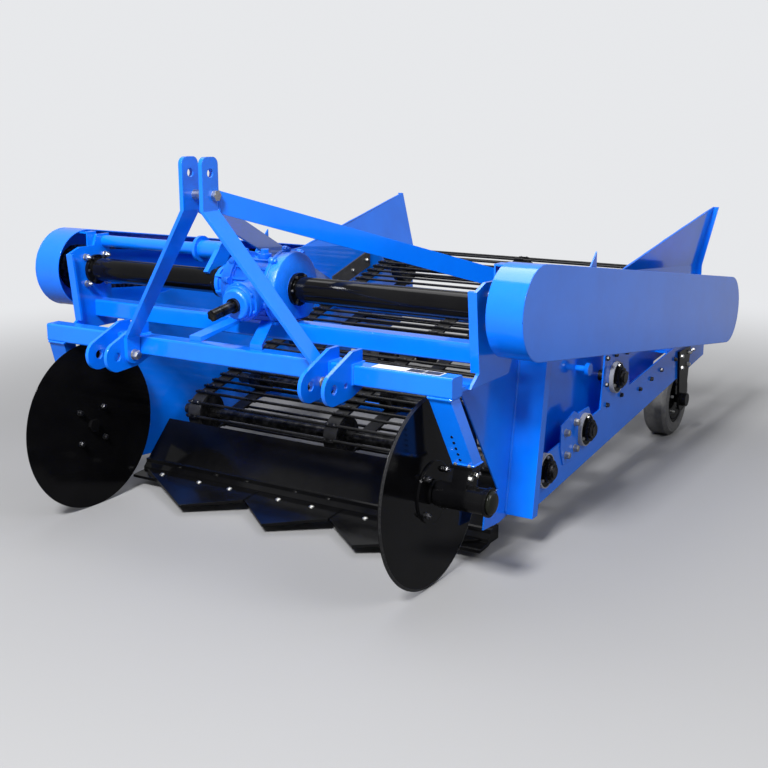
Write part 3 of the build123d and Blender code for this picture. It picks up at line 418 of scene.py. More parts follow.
def hex_nut(bm, at, way, across, start=0.0, proud=0.5):
    """Nut on its washer, with the bolt's end standing out of it."""
    at, way = Vector(at), Vector(way).normalized()
    lift = WASHER_T * across
    turned(bm, at, way, ((WASHER_R * across, -0.001), (WASHER_R * across, lift)), 20)
    tip, high = CORNER_R * across, NUT_HEIGHT * across
    profile = ((tip * 0.9, 0.0), (tip, high * 0.12), (tip, high * 0.86), (tip * 0.88, high))
    turned(bm, at + way * lift, way, profile, 6, start)
    stub = 0.30 * across
    ridges = [(stub, high - 0.001)]
    turns = max(2, int(proud * across / THREAD))
    for k in range(turns):
        ridges.append((stub, high + THREAD * k + 0.0004))
        ridges.append((stub * 0.9, high + THREAD * k + 0.0012))
    ridges.append((stub * 0.78, high + THREAD * turns + 0.0008))
    turned(bm, at + way * lift, way, ridges, 12)


foot_bolts = bmesh.new()
inner_face = PIN_X - EAR_HALF - EAR_T / 2
for side in (-1, 1):
    hex_head(foot_bolts, (side * (inner_face - MAST_T), FOOT_Y, PIN_Z), (-side, 0, 0), FOOT_BOLT, 0.2)
    hex_nut(foot_bolts, (side * (inner_face + EAR_T), FOOT_Y, PIN_Z), (side, 0, 0), FOOT_BOLT, 0.5)
settle(foot_bolts, "mast_foot_bolts", zinc)

ear_welds = bmesh.new()
for side in (-1, 1):
    for offset in (-EAR_HALF, EAR_HALF):
        for face in (-1, 1):
            x = side * PIN_X + offset + face * (EAR_T / 2 + EAR_WELD_OUT)
            seam = [
                (x, bar_low.y, bar_low.z), (x, bar_low.y, bar_high.z), (x, bar_high.y, bar_high.z),
                (x, bar_high.y, bar_low.z),
            ]
            bead(ear_welds, seam, EAR_WELD, seed=int(100 + 50 * offset + side * 7 + face))
settle(ear_welds, "hitch_ear_welds", blue_enamel)

# Mast. Two flat bars, cranked out from the upper link pin to the hitch ears, with a zinc-plated spacer
# bolt between them and a stay to each side sheet welded to the bars' rear edges.
STAY_WELD = 0.0040
STAY_WELD_Y = HITCH_Y + 0.0285
STAY_EDGES = (0.030, 0.044)
STAY_WELD_DOWN = (0.003, 0.064)
dress(blue_enamel, "mast_leg_left", "mast_leg_right", "stay_left", "stay_right")
dress(zinc, "mast_spacer")
stay_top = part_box("stay_left")[1].z
stay_welds = bmesh.new()
for side in (-1, 1):
    for x in STAY_EDGES:
        run = [(side * x, STAY_WELD_Y, stay_top - down) for down in STAY_WELD_DOWN]
        bead(stay_welds, run, STAY_WELD, seed=int(9 + side + 500 * x))
settle(stay_welds, "stay_welds", blue_enamel)

# Rear beam. A second square tube above the web's front, with a flat seat for the gearbox and two arms
# that slope down to the toolbar. The gearbox's foot is bolted down at the seat's four corners.
FOOT_T = 0.014
SEAT_BOLT = 0.019
SEAT_BOLTS_X = (-0.098, 0.038)
SEAT_BOLTS_Y = (HITCH_Y + 0.278, HITCH_Y + 0.388)
dress(blue_enamel, "rear_beam")
seat_bolts = bmesh.new()
foot_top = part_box("rear_beam")[1].z + FOOT_T
for x in SEAT_BOLTS_X:
    for y in SEAT_BOLTS_Y:
        hex_head(seat_bolts, (x, y, foot_top - 0.0005), (0, 0, 1), SEAT_BOLT, 3.0 * x)
settle(seat_bolts, "gearbox_seat_bolts", zinc)

# Shaft brackets. Folded plates that stand on the toolbar and the beam's ends and carry the cross shaft,
# whose flange is bolted to them with four bolts. A round bar braces the gearbox from the right one.
SHAFT_Y = HITCH_Y + 0.333
SHAFT_Z = 0.809
BRACKET_IN = 0.782
BRACKET_OUT = 0.792
BRACKET_BOLT_R = 0.066
BRACKET_BOLT = 0.019
dress(blue_enamel, "shaft_bracket_left", "shaft_bracket_right", "gearbox_brace_right")


def around(hub_y, hub_z, radius, turn):
    """Point at a turn round an axis along X, as y and z."""
    return hub_y + radius * math.cos(turn), hub_z + radius * math.sin(turn)


bracket_bolts = bmesh.new()
for side in (-1, 1):
    for k in range(4):
        y, z = around(SHAFT_Y, SHAFT_Z, BRACKET_BOLT_R, math.pi / 4 + k * math.pi / 2)
        hex_nut(bracket_bolts, (side * BRACKET_IN, y, z), (-side, 0, 0), BRACKET_BOLT, 0.3 * k)
        hex_head(bracket_bolts, (side * BRACKET_OUT, y, z), (side, 0, 0), BRACKET_BOLT, 0.4 * k)
settle(bracket_bolts, "shaft_bracket_bolts", zinc)

# Gearbox. An iron casting with a bolted cover on each side, flat at the foot, and a nose for the input
# shaft. It is painted with the frame, so the enamel follows the grain of the sand mould. The splined
# shaft is blacked steel.
INPUT_TILT = math.radians(9.2)
INPUT_WAY = Vector((0, -math.cos(INPUT_TILT), -math.sin(INPUT_TILT)))
NOSE_FACE = 0.168
NOSE_BOLT_R = 0.0545
NOSE_BOLT = 0.012
COVER_BOLT_R = 0.124
COVER_BOLT_TURNS = (-10, 22, 58, 94, 130, 166, 198)
COVER_BOLT = 0.013
COVER_FOOT = foot_top - 0.0125
SMALL_COVER_LIFT = 0.0105
COVERS = ((0.050, 1, 1.0), (-0.094, -1, 0.86))
COVER = (
    (0.096, 0.0), (0.123, 0.0), (0.124, 0.001), (0.124, 0.011), (0.1195, 0.013), (0.118, 0.034),
    (0.1155, 0.040), (0.110, 0.043), (0.057, 0.0442),
)
BOSS = ((0.0100, 0.0005), (0.0112, 0.0015), (0.0106, 0.0160), (0.0096, 0.0172))
BOSS_TOP = 0.0168

cast_skin, given, result = effect(
    "painted casting",
    (("Full coat", "Color", BLUE), ("Thin coat", "Color", BLUE_THIN), ("Gloss", "Float", 0.26)),
)
here = wire(cast_skin, "TexCoord").outputs["Object"]
coat = mixed(cast_skin, blotches(cast_skin, here, 30.0, 0.35, 0.65), given["Thin coat"], given["Full coat"])
pores = wire(cast_skin, "TexVoronoi", {"Vector": here, "Scale": 210.0, "Randomness": 1.0}).outputs["Distance"]
sand = blotches(cast_skin, here, 120.0, 0.2, 0.8, 8.0)
cast_skin.links.new(coat, result["Colour"])
cast_skin.links.new(plus(cast_skin, spread(cast_skin, sand, 0.0, 0.16), given["Gloss"]), result["Roughness"])
cast_skin.links.new(plus(cast_skin, pores, sand), result["Height"])
blue_casting = finish("blue casting", cast_skin, relief=0.0005, rounding=0.003)
dress(blue_casting, "gearbox")

gearbox_bolts = bmesh.new()
gearbox_covers = bmesh.new()
for face_x, way, scale in COVERS:
    cover = tuple((radius * scale, out) for radius, out in COVER)
    turned(gearbox_covers, (face_x, SHAFT_Y, SHAFT_Z), (way, 0, 0), cover, 72)
    for turn in COVER_BOLT_TURNS:
        y, z = around(SHAFT_Y, SHAFT_Z, scale * COVER_BOLT_R, math.radians(turn))
        turned(gearbox_covers, (face_x, y, z), (way, 0, 0), BOSS, 18)
        head_x = face_x + way * BOSS_TOP
        hex_head(gearbox_bolts, (head_x, y, z), (way, 0, 0), COVER_BOLT, 0.5 * turn, washer=False)
for corner in gearbox_covers.verts:
    corner.co.z = max(corner.co.z, COVER_FOOT + (SMALL_COVER_LIFT if corner.co.x < 0 else 0.0))
settle(gearbox_covers, "gearbox_side_covers", blue_casting)
nose_side = Vector((1, 0, 0))
nose_up = nose_side.cross(INPUT_WAY)
nose_centre = Vector((0, SHAFT_Y, SHAFT_Z)) + INPUT_WAY * NOSE_FACE
for k in range(6):
    turn = math.pi / 6 + k * math.pi / 3
    spot = nose_centre + (nose_side * math.cos(turn) + nose_up * math.sin(turn)) * NOSE_BOLT_R
    hex_head(gearbox_bolts, spot, INPUT_WAY, NOSE_BOLT, 0.3 * k, washer=False)
settle(gearbox_bolts, "gearbox_bolts", blue_casting)

oiled, given, result = effect(
    "oiled steel",
    (
        ("Dark", "Color", (0.012, 0.012, 0.013, 1.0)), ("Worn", "Color", (0.20, 0.20, 0.21, 1.0)),
        ("Wear", "Float", 0.5),
    ),
)
here = wire(oiled, "TexCoord").outputs["Object"]
rubbed = times(oiled, blotches(oiled, here, 34.0, 0.45, 0.72, 6.0), given["Wear"])
oiled.links.new(mixed(oiled, rubbed, given["Dark"], given["Worn"]), result["Colour"])
oiled.links.new(spread(oiled, blotches(oiled, here, 18.0, 0.3, 0.7), 0.2, 0.42), result["Roughness"])
oiled.links.new(blotches(oiled, here, 300.0, 0.2, 0.8), result["Height"])
black_steel = finish("blacked steel", oiled, relief=0.00005, rounding=0.0008, Metallic=0.85)
dress(black_steel, "input_shaft")

# Shaft tubes. The cross shaft runs inside these black-painted tubes, from the gearbox out to the
# brackets. Each flange is held with six bolts.
BLACK = (0.0022, 0.0022, 0.0026, 1.0)
BLACK_THIN = (0.0042, 0.0042, 0.0046, 1.0)
FLANGE_FACES = ((0.107, 1), (0.770, -1), (-0.212, -1), (-0.770, 1))
FLANGE_BOLT_R = 0.0455
FLANGE_BOLT = 0.010
black_enamel = finish(
    "black enamel", sprayed, {"Full coat": BLACK, "Thin coat": BLACK_THIN, "Dust": 0.003, "Gloss": 0.06},
    Specular_IOR_Level=0.18,
)
dress(black_enamel, "shaft_tube_left", "shaft_tube_right")
flange_bolts = bmesh.new()
for x, way in FLANGE_FACES:
    for k in range(6):
        y, z = around(SHAFT_Y, SHAFT_Z, FLANGE_BOLT_R, k * math.pi / 3)
        hex_head(flange_bolts, (x, y, z), (way, 0, 0), FLANGE_BOLT, 0.4 * k, washer=False)
settle(flange_bolts, "shaft_flange_bolts", black_bolt)

# Chain drives. One roller chain on each side runs from the cross shaft to the web's rear shaft: links
# of two plates each, joined by pins through rollers, on steel chain wheels.
REAR_Y = HITCH_Y + 2.185
REAR_Z = 0.615
CHAIN_X = 0.876
FRONT_PITCH_R = 0.0735
REAR_PITCH_R = 0.0515
LINK = 0.0254
PLATE_R = 0.0068
PLATE_T = 0.0013
INNER_PLATE = 0.0048
OUTER_PLATE = 0.0064
LINK_PIN_L = 0.015
LINK_PIN = ((0.0022, 0.0), (0.0022, LINK_PIN_L))
LINK_ROLLER_L = 0.0084
LINK_ROLLER = ((0.0052, 0.0), (0.0052, LINK_ROLLER_L))
dress(black_steel, "sprockets_left", "sprockets_right")
greased_chain = finish("greased chain", oiled, {"Wear": 0.9}, relief=0.00005, rounding=0.0005, Metallic=0.9)
run = Vector((REAR_Y - SHAFT_Y, REAR_Z - SHAFT_Z))
tilt = math.atan2(run.y, run.x)
splay = math.asin((FRONT_PITCH_R - REAR_PITCH_R) / run.length)
straight = math.sqrt(run.length**2 - (FRONT_PITCH_R - REAR_PITCH_R) ** 2)
rear_turn = math.pi - 2 * splay
front_turn = math.pi + 2 * splay
loop = 2 * straight + rear_turn * REAR_PITCH_R + front_turn * FRONT_PITCH_R


def chain_spot(along):
    """Point of the chain's path, in y and z, at a distance along it."""
    along %= loop
    lift = tilt + math.pi / 2 - splay
    out = Vector((math.cos(lift), math.sin(lift)))
    ahead = Vector((math.sin(lift), -math.cos(lift)))
    front, rear = Vector((SHAFT_Y, SHAFT_Z)), Vector((REAR_Y, REAR_Z))
    if along < straight:
        return front + out * FRONT_PITCH_R + ahead * along
    along -= straight
    if along < rear_turn * REAR_PITCH_R:
        turn = lift - along / REAR_PITCH_R
        return rear + Vector((math.cos(turn), math.sin(turn))) * REAR_PITCH_R
    along -= rear_turn * REAR_PITCH_R
    low = lift - rear_turn
    out = Vector((math.cos(low), math.sin(low)))
    if along < straight:
        return rear + out * REAR_PITCH_R - Vector((-math.sin(low), math.cos(low))) * along
    along -= straight
    turn = low - along / FRONT_PITCH_R
    return front + Vector((math.cos(turn), math.sin(turn))) * FRONT_PITCH_R


link_count = 2 * round(loop / LINK / 2)
for side_name, side in (("left", 1), ("right", -1)):
    chain = bmesh.new()
    pins = [chain_spot(loop * k / link_count) for k in range(link_count)]
    for k, pin in enumerate(pins):
        ahead = pins[(k + 1) % link_count]
        turned(chain, (side * (CHAIN_X - LINK_PIN_L / 2), pin.x, pin.y), (side, 0, 0), LINK_PIN, 8)
        turned(chain, (side * (CHAIN_X - LINK_ROLLER_L / 2), pin.x, pin.y), (side, 0, 0), LINK_ROLLER, 10)
        way = (ahead - pin).normalized()
        across = Vector((-way.y, way.x))
        offset = INNER_PLATE if k % 2 else OUTER_PLATE
        for face in (-1, 1):
            x = side * CHAIN_X + face * offset
            shape = []
            for end, sign in ((pin, -1), (ahead, 1)):
                for turn in (-1.2, -0.4, 0.4, 1.2):
                    reach = way * (sign * PLATE_R * math.cos(turn))
                    spot = end + reach + across * (sign * PLATE_R * math.sin(turn))
                    shape.append((x, spot.x, spot.y))
            plate(chain, shape, (face * PLATE_T, 0, 0))
    piece = settle(chain, "roller_chain_" + side_name, greased_chain)
    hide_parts("drive_chain_" + side_name)

# Chain guards. Long pressed steel pans with a flanged rim, welded along the outer edge and held over
# the drives by two bolted tabs each.
GUARD_OUT = 0.937
GUARD_R = 0.136
GUARD_END_Y = HITCH_Y + 2.235
GUARD_END_Z = 0.540
GUARD_STEPS = 24
GUARD_SEAM = 0.0013
SEAM_IN = 0.0016
TAB_BOLT = 0.013
FRONT_TAB_X = 0.797
FRONT_TAB_Z = SHAFT_Z + 0.067
REAR_TAB_X = 0.787
REAR_TAB_Z = GUARD_END_Z - 0.188
dress(blue_enamel, "guard_left", "guard_right")
guard_bolts = bmesh.new()
guard_seams = bmesh.new()
guard_run = Vector((GUARD_END_Y - SHAFT_Y, GUARD_END_Z - SHAFT_Z))
guard_up = math.atan2(guard_run.x, -guard_run.y)
for side in (-1, 1):
    for y in (SHAFT_Y - 0.014, SHAFT_Y + 0.010):
        hex_head(guard_bolts, (side * FRONT_TAB_X, y, FRONT_TAB_Z), (side, 0, 0), TAB_BOLT)
    for y in (GUARD_END_Y - 0.013, GUARD_END_Y + 0.013):
        hex_head(guard_bolts, (side * REAR_TAB_X, y, REAR_TAB_Z), (side, 0, 0), TAB_BOLT)
    seam = []
    for hub_y, hub_z, first in ((SHAFT_Y, SHAFT_Z, guard_up), (GUARD_END_Y, GUARD_END_Z, guard_up - math.pi)):
        for k in range(GUARD_STEPS + 1):
            y, z = around(hub_y, hub_z, GUARD_R, first + math.pi * k / GUARD_STEPS)
            seam.append((side * (GUARD_OUT - SEAM_IN), y, z))
    bead(guard_seams, seam + seam[:1], GUARD_SEAM, pitch=0.02, seed=20 + side)
settle(guard_bolts, "guard_tab_bolts", zinc)
settle(guard_seams, "guard_seams", blue_enamel)

# Side sheets. Folded steel walls, cut by laser and sprayed with the frame. The wing's top is rolled over
# a rod, the stays and cross tubes are welded inside, and a round stop stands out of the outer face.
SHEET_IN = 0.720
SHEET_OUT = 0.725
CROSS_TUBES = ((1.740, 0.4966), (1.200, 0.200), (2.330, 0.430))
CROSS_TUBE_R = 0.0315
CROSS_TUBE_WELD = 0.0036
WING_LIP = ((0.7235, 1.502, 0.7745), (0.7520, 1.970, 0.8600), (0.7835, 2.434, 0.9440))
WING_LIP_R = 0.0042
STAY_FOOT = ((0.7185, 1.701, 0.545), (0.7185, 1.701, 0.603))
STAY_FOOT_WELD = 0.0042
STOP_Y = HITCH_Y + 1.105
STOP_Z = 0.482
STOP = ((0.011, -0.001), (0.011, 0.036), (0.022, 0.037), (0.023, 0.040), (0.023, 0.050), (0.021, 0.052))
dress(blue_enamel, "side_sheet_left", "side_sheet_right", "cross_tubes")
sheet_welds = bmesh.new()
wing_lips = bmesh.new()
knobs = bmesh.new()
for side in (-1, 1):
    lip = [(side * x, HITCH_Y + y, z) for x, y, z in WING_LIP]
    bead(wing_lips, lip, WING_LIP_R, sides=8, pitch=0.06, seed=30 + side)
    stay_foot = [(side * x, HITCH_Y + y, z) for x, y, z in STAY_FOOT]
    bead(sheet_welds, stay_foot, STAY_FOOT_WELD, seed=40 + side)
    for tube_y, tube_z in CROSS_TUBES:
        joint = []
        for k in range(25):
            y, z = around(HITCH_Y + tube_y, tube_z, CROSS_TUBE_R, 2 * math.pi * k / 24)
            joint.append((side * (SHEET_IN - 0.002), y, z))
        bead(sheet_welds, joint, CROSS_TUBE_WELD, seed=50 + side)
    turned(knobs, (side * SHEET_OUT, STOP_Y, STOP_Z), (side, 0, 0), STOP, 24)
settle(knobs, "side_sheet_knobs", blue_enamel)
settle(wing_lips, "wing_top_lips", blue_enamel)
settle(sheet_welds, "side_sheet_welds", blue_enamel)

# Front posts. Leaning channels folded from plate, welded down their edge to the side sheet, which
# stiffen the frame's front corner.
POST_LEAN = math.tan(math.radians(8.5))
POST_X = 0.7268
POST_Y = HITCH_Y + 0.5595
POST_FOOT_Z = 0.112
POST_WELD = 0.0040
POST_WELD_Z = (0.118, 0.634)
dress(blue_enamel, "front_post_left", "front_post_right")
post_welds = bmesh.new()
for side in (-1, 1):
    run = [(side * POST_X, POST_Y + POST_LEAN * (z - POST_FOOT_Z), z) for z in POST_WELD_Z]
    bead(post_welds, run, POST_WELD, seed=60 + side)
settle(post_welds, "front_post_welds", blue_enamel)

# Side rails. Deep channels cut from plate, with a raised seat at each carrying roller. A patch plate is
# bolted on in front of the lower roller's bearing, and more bolts hold the upper one's seat.
RAIL_OUT = 0.782
PATCH_T = 0.004
PATCH = (
    (0.846, 0.262), (0.872, 0.200), (0.955, 0.198), (0.994, 0.216), (0.994, 0.350), (0.955, 0.368),
    (0.846, 0.342),
)
PATCH_BOLTS = ((0.884, 0.310), (0.964, 0.328), (0.966, 0.236), (0.892, 0.230))
PATCH_BOLT = 0.021
SEAT_BOLTS = (
    (1.246, 0.496), (1.330, 0.494), (1.440, 0.484), (1.246, 0.400), (1.442, 0.404), (1.262, 0.322),
    (1.402, 0.330),
)
RAIL_BOLTS = ((1.608, 0.309), (1.735, 0.324), (1.850, 0.338), (2.024, 0.349))
RAIL_BOLT = 0.014
dress(blue_enamel, "side_rail_left", "side_rail_right")
patches = bmesh.new()
patch_bolts = bmesh.new()
rail_bolts = bmesh.new()
for side in (-1, 1):
    outward = (side, 0, 0)
    plate(patches, [(side * (RAIL_OUT - 0.0005), HITCH_Y + y, z) for y, z in PATCH], (side * 0.0045, 0, 0))
    for k, (y, z) in enumerate(PATCH_BOLTS):
        hex_head(patch_bolts, (side * (RAIL_OUT + PATCH_T), HITCH_Y + y, z), outward, PATCH_BOLT, 0.5 * k)
    for k, (y, z) in enumerate(SEAT_BOLTS + RAIL_BOLTS):
        hex_head(rail_bolts, (side * RAIL_OUT, HITCH_Y + y, z), outward, RAIL_BOLT, 0.7 * k)
settle(patches, "rail_patch_plates", blue_enamel)
settle(patch_bolts, "rail_patch_bolts", zinc)
settle(rail_bolts, "rail_bolts", black_bolt)

# Bearings. Round cast housings on the side frame, painted black, with a pressed steel ring round the
# flange, three bolts, a grease nipple and a locking collar on the shaft.
BEARINGS = ((0.716, 0.224, 0.782), (1.050, 0.2822, 0.782), (1.330, 0.4119, 0.782), (2.185, 0.615, 0.725))
FLANGE_TOP = 0.014
COLLAR_FOOT = 0.0318
NIPPLE_OUT = 0.023
NIPPLE_UP = 0.0375
HOUSING_BOLT_R = 0.0445
HOUSING_BOLT = 0.011
FLANGE_RING = ((0.0535, -0.0005), (0.0575, -0.0005), (0.0575, 0.0150), (0.0560, 0.0165), (0.0535, 0.0165))
COLLAR = ((0.0203, 0.0), (0.029, 0.0), (0.029, 0.006), (0.027, 0.008), (0.0203, 0.008))
NIPPLE = (
    (0.0035, -0.001), (0.0035, 0.003), (0.0022, 0.004), (0.0022, 0.006), (0.003, 0.0075), (0.0012, 0.009),
)
dress(black_enamel, "bearings_left", "bearings_right")


def ring(bm, at, way, profile, steps=32):
    """Closed ring round a line: its profile is a closed outline of radius and distance along."""
    place = on_line(at, way)
    loops = []
    for radius, along in profile:
        loops.append([bm.verts.new(place @ point) for point in round_points(steps, radius, along)])
    join_rings(bm, loops + loops[:1])


bearing_rings = bmesh.new()
bearing_bolts = bmesh.new()
collars = bmesh.new()
for side in (-1, 1):
    outward = (side, 0, 0)
    for bearing_y, z, face in BEARINGS:
        y = HITCH_Y + bearing_y
        ring(bearing_rings, (side * face, y, z), outward, FLANGE_RING)
        for k in range(3):
            bolt_y, bolt_z = around(y, z, HOUSING_BOLT_R, math.pi / 2 + 2 * math.pi * k / 3)
            spot = (side * (face + FLANGE_TOP), bolt_y, bolt_z)
            hex_head(bearing_bolts, spot, outward, HOUSING_BOLT, 0.4 * k, washer=False)
        ring(collars, (side * (face + COLLAR_FOOT), y, z), outward, COLLAR, 28)
        turned(collars, (side * (face + NIPPLE_OUT), y, z + NIPPLE_UP), (0, 0, 1), NIPPLE, 10)
pressed_ring = finish(
    "grey ring", plated, {"Bright": (0.36, 0.37, 0.40, 1.0), "Dull": (0.26, 0.27, 0.29, 1.0), "Polish": 0.5},
    relief=0.00005, rounding=0.001, Metallic=0.0,
)
settle(bearing_rings, "bearing_flange_rings", pressed_ring)
settle(bearing_bolts, "bearing_bolts", zinc)
settle(collars, "bearing_collars", black_steel)

# Rollers. Turned steel shafts with three wheels each, under the web's belts: the front roller, the drive
# roller behind and two that carry the web between them.
bare_steel = finish("dark steel", oiled, {"Wear": 0.35}, relief=0.00005, rounding=0.001, Metallic=0.8)
dress(bare_steel, "front_roller", "drive_roller", "upper_roller", "lower_roller")

# Web. Round steel rods across three endless rubber belts, which sieve the soil from the crop. Each rod
# is forged flat where it crosses a belt and held by two rivets with a washer plate.
FRONT_Y = HITCH_Y + 0.716
FRONT_Z = 0.224
BELT_OUT = 0.078
BELT_X = 0.6235
ROD_R = 0.0055
ROD_COUNT = 70
CLIP_HALF = 0.023
CLIP_ALONG = 0.0065
CLIP_T = 0.0022
RIVET_X = 0.013
RIVET = ((0.0048, 0.0), (0.0042, 0.0018), (0.0020, 0.0030))

moulded, given, result = effect(
    "moulded rubber",
    (
        ("Tint", "Color", (0.022, 0.022, 0.024, 1.0)), ("Bloom", "Color", (0.10, 0.10, 0.10, 1.0)),
        ("Chalk", "Float", 0.35),
    ),
)
here = wire(moulded, "TexCoord").outputs["Object"]
chalky = times(moulded, blotches(moulded, here, 38.0, 0.35, 0.75, 7.0), given["Chalk"])
moulded.links.new(mixed(moulded, chalky, given["Tint"], given["Bloom"]), result["Colour"])
moulded.links.new(spread(moulded, chalky, 0.48, 0.8), result["Roughness"])
moulded.links.new(blotches(moulded, here, 420.0, 0.2, 0.8, 3.0), result["Height"])
rod_steel = finish(
    "web rods", oiled, {"Dark": (0.003, 0.003, 0.0034, 1.0), "Worn": (0.06, 0.06, 0.064, 1.0), "Wear": 0.18},
    relief=0.00005, rounding=0.001, Metallic=0.3,
)
belt_rubber = finish(
    "belt rubber", moulded,
    {"Tint": (0.009, 0.009, 0.010, 1.0), "Bloom": (0.05, 0.05, 0.05, 1.0), "Chalk": 0.25},
    relief=0.0002, rounding=0.0015, Specular_IOR_Level=0.3,
)
dress(belt_rubber, "web_belts")
dress(rod_steel, "web_rods")
web_run = Vector((REAR_Y - FRONT_Y, REAR_Z - FRONT_Z))
web_ahead = web_run.normalized()
web_out = Vector((-web_ahead.y, web_ahead.x))
web_path = 2 * web_run.length + 2 * math.pi * BELT_OUT


def web_spot(along):
    """Point on the belt's outer face, in y and z, and its way out, at a distance along the belt."""
    low = Vector((FRONT_Y, FRONT_Z))
    high = Vector((REAR_Y, REAR_Z))
    bend = math.pi * BELT_OUT
    if along < web_run.length:
        return low + web_ahead * along + web_out * BELT_OUT, web_out
    if along < web_run.length + bend:
        turn = (along - web_run.length) / BELT_OUT
        out = web_out * math.cos(turn) + web_ahead * math.sin(turn)
        return high + out * BELT_OUT, out
    if along < 2 * web_run.length + bend:
        return high - web_ahead * (along - web_run.length - bend) - web_out * BELT_OUT, -web_out
    turn = (along - 2 * web_run.length - bend) / BELT_OUT
    out = -web_out * math.cos(turn) - web_ahead * math.sin(turn)
    return low + out * BELT_OUT, out


rivets = bmesh.new()
rod_clips = bmesh.new()
for k in range(ROD_COUNT):
    spot, out = web_spot(web_path * k / ROD_COUNT)
    way = Vector((0, out.x, out.y))
    along = Vector((0, out.y, -out.x))
    top = Vector((0, spot.x, spot.y)) + way * (2 * ROD_R - 0.0012)
    for belt_x in (-BELT_X, 0, BELT_X):
        centre = top + Vector((belt_x, 0, 0))
        corners = []
        for x, a in ((-1, -1), (1, -1), (1, 1), (-1, 1)):
            corners.append(centre + Vector((x * CLIP_HALF, 0, 0)) + along * (a * CLIP_ALONG))
        plate(rod_clips, corners, way * CLIP_T)
        for x in (-RIVET_X, RIVET_X):
            turned(rivets, centre + Vector((x, 0, 0)) + way * 0.002, way, RIVET, 10)
settle(rod_clips, "rod_clips", bare_steel)
settle(rivets, "rod_rivets", black_bolt)

# Side flaps. Rubber strips bolted inside the side sheets, above the web, which stop the crop from
# falling past its edge.
FLAP_FACE_X = 0.7117
FLAP_BOLTS = ((1.745, 0.592), (1.870, 0.628), (1.992, 0.664))
FLAP_BOLT = 0.013
black_rubber = finish("black rubber", moulded, relief=0.00012, rounding=0.0012)
dress(black_rubber, "side_flap_left", "side_flap_right")
flap_bolts = bmesh.new()
for side in (-1, 1):
    for k, (y, z) in enumerate(FLAP_BOLTS):
        hex_head(flap_bolts, (side * FLAP_FACE_X, HITCH_Y + y, z), (-side, 0, 0), FLAP_BOLT, 0.6 * k)
settle(flap_bolts, "side_flap_bolts", zinc)

# Disc legs. Box-section legs welded under the toolbar's ends, with a row of holes in front; the dark
# inside of each hole is painted shade, a black disc set in the hole. Each ends in a foot that is bolted
# to the black cast axle housing, which has a pressed dust cap at its outer end.
UPPER_WELD = 0.0045
LOWER_WELD = 0.0035
LEG_WELD_X = 0.741
LEG_WELD_Y = HITCH_Y + 0.117
LEG_WELD_Z = 0.5905
LEG_TOP_Z = 0.592
LEG_X = 0.776
LEG_Y = HITCH_Y + 0.200
LEG_Z = 0.385
LEG_HEIGHT = 0.207
HOLES_Z = (0.473, 0.455, 0.437, 0.419, 0.401)
HOLE_WAY = (0, -0.928, -0.372)
HOLE_SHADE_DISC = ((0.0044, -0.0010), (0.0044, 0.0004), (0.0036, 0.0006))
FOOT_PLATE_BOLT = 0.0095
HOUSING_SIDE_BOLT = 0.014
DISC_Y = HITCH_Y + 0.170
DISC_R = 0.291
DISC_X = 0.676
HOUSING_OUT = 0.868
DUST_CAP = (
    (0.0350, -0.0005), (0.0350, 0.004), (0.0310, 0.0065), (0.0300, 0.009), (0.0200, 0.0115), (0.0060, 0.0125),
)
dress(blue_enamel, "disc_leg_left", "disc_leg_right")
dress(black_enamel, "disc_axle_left", "disc_axle_right")
cap_paint = finish(
    "dust cap", sprayed,
    {"Full coat": (0.0075, 0.0085, 0.0058, 1.0), "Thin coat": (0.0052, 0.0060, 0.0042, 1.0), "Dust": 0.02},
    Specular_IOR_Level=0.3,
)


def level_box(x, y, z, half_x, half_y):
    """Closed path round a level rectangle."""
    signs = ((-1, -1), (1, -1), (1, 1), (-1, 1), (-1, -1))
    return [(x + half_x * across, y + half_y * ahead, z) for across, ahead in signs]


leg_welds = bmesh.new()
leg_hole_shade = bmesh.new()
axle_bolts = bmesh.new()
caps = bmesh.new()
for side in (-1, 1):
    outward = (side, 0, 0)
    upper = level_box(side * LEG_WELD_X, LEG_WELD_Y, LEG_WELD_Z, 0.036, 0.026)
    bead(leg_welds, upper, UPPER_WELD, seed=70 + side)
    lower = level_box(side * LEG_X, LEG_Y, LEG_Z + 0.0015, 0.034, 0.0262)
    bead(leg_welds, lower, LOWER_WELD, seed=80 + side)
    for offset in (-0.022, 0.022):
        for reach in (-0.0315, 0.0315):
            spot = (side * LEG_X + offset, LEG_Y + reach, LEG_Z)
            hex_head(axle_bolts, spot, (0, 0, 1), FOOT_PLATE_BOLT, offset * 50, washer=False)
        spot = (side * (LEG_X + 0.024), DISC_Y + 0.014 + offset * 0.8, 0.352)
        hex_head(axle_bolts, spot, outward, HOUSING_SIDE_BOLT, offset * 90)
    # Black discs in the holes: painted shade for the dark inside of each hole.
    for z in HOLES_Z:
        fall = (LEG_TOP_Z - z) / LEG_HEIGHT
        spot = (side * (0.737 + 0.035 * fall), HITCH_Y + 0.0918 + 0.083 * fall, z)
        turned(leg_hole_shade, spot, HOLE_WAY, HOLE_SHADE_DISC, 20)
    turned(caps, (side * HOUSING_OUT, DISC_Y, DISC_R), outward, DUST_CAP, 36)
settle(leg_welds, "disc_leg_welds", blue_enamel)
settle(leg_hole_shade, "disc_leg_hole_plugs", black_enamel)
settle(axle_bolts, "disc_axle_bolts", zinc)
settle(caps, "disc_axle_caps", cap_paint)

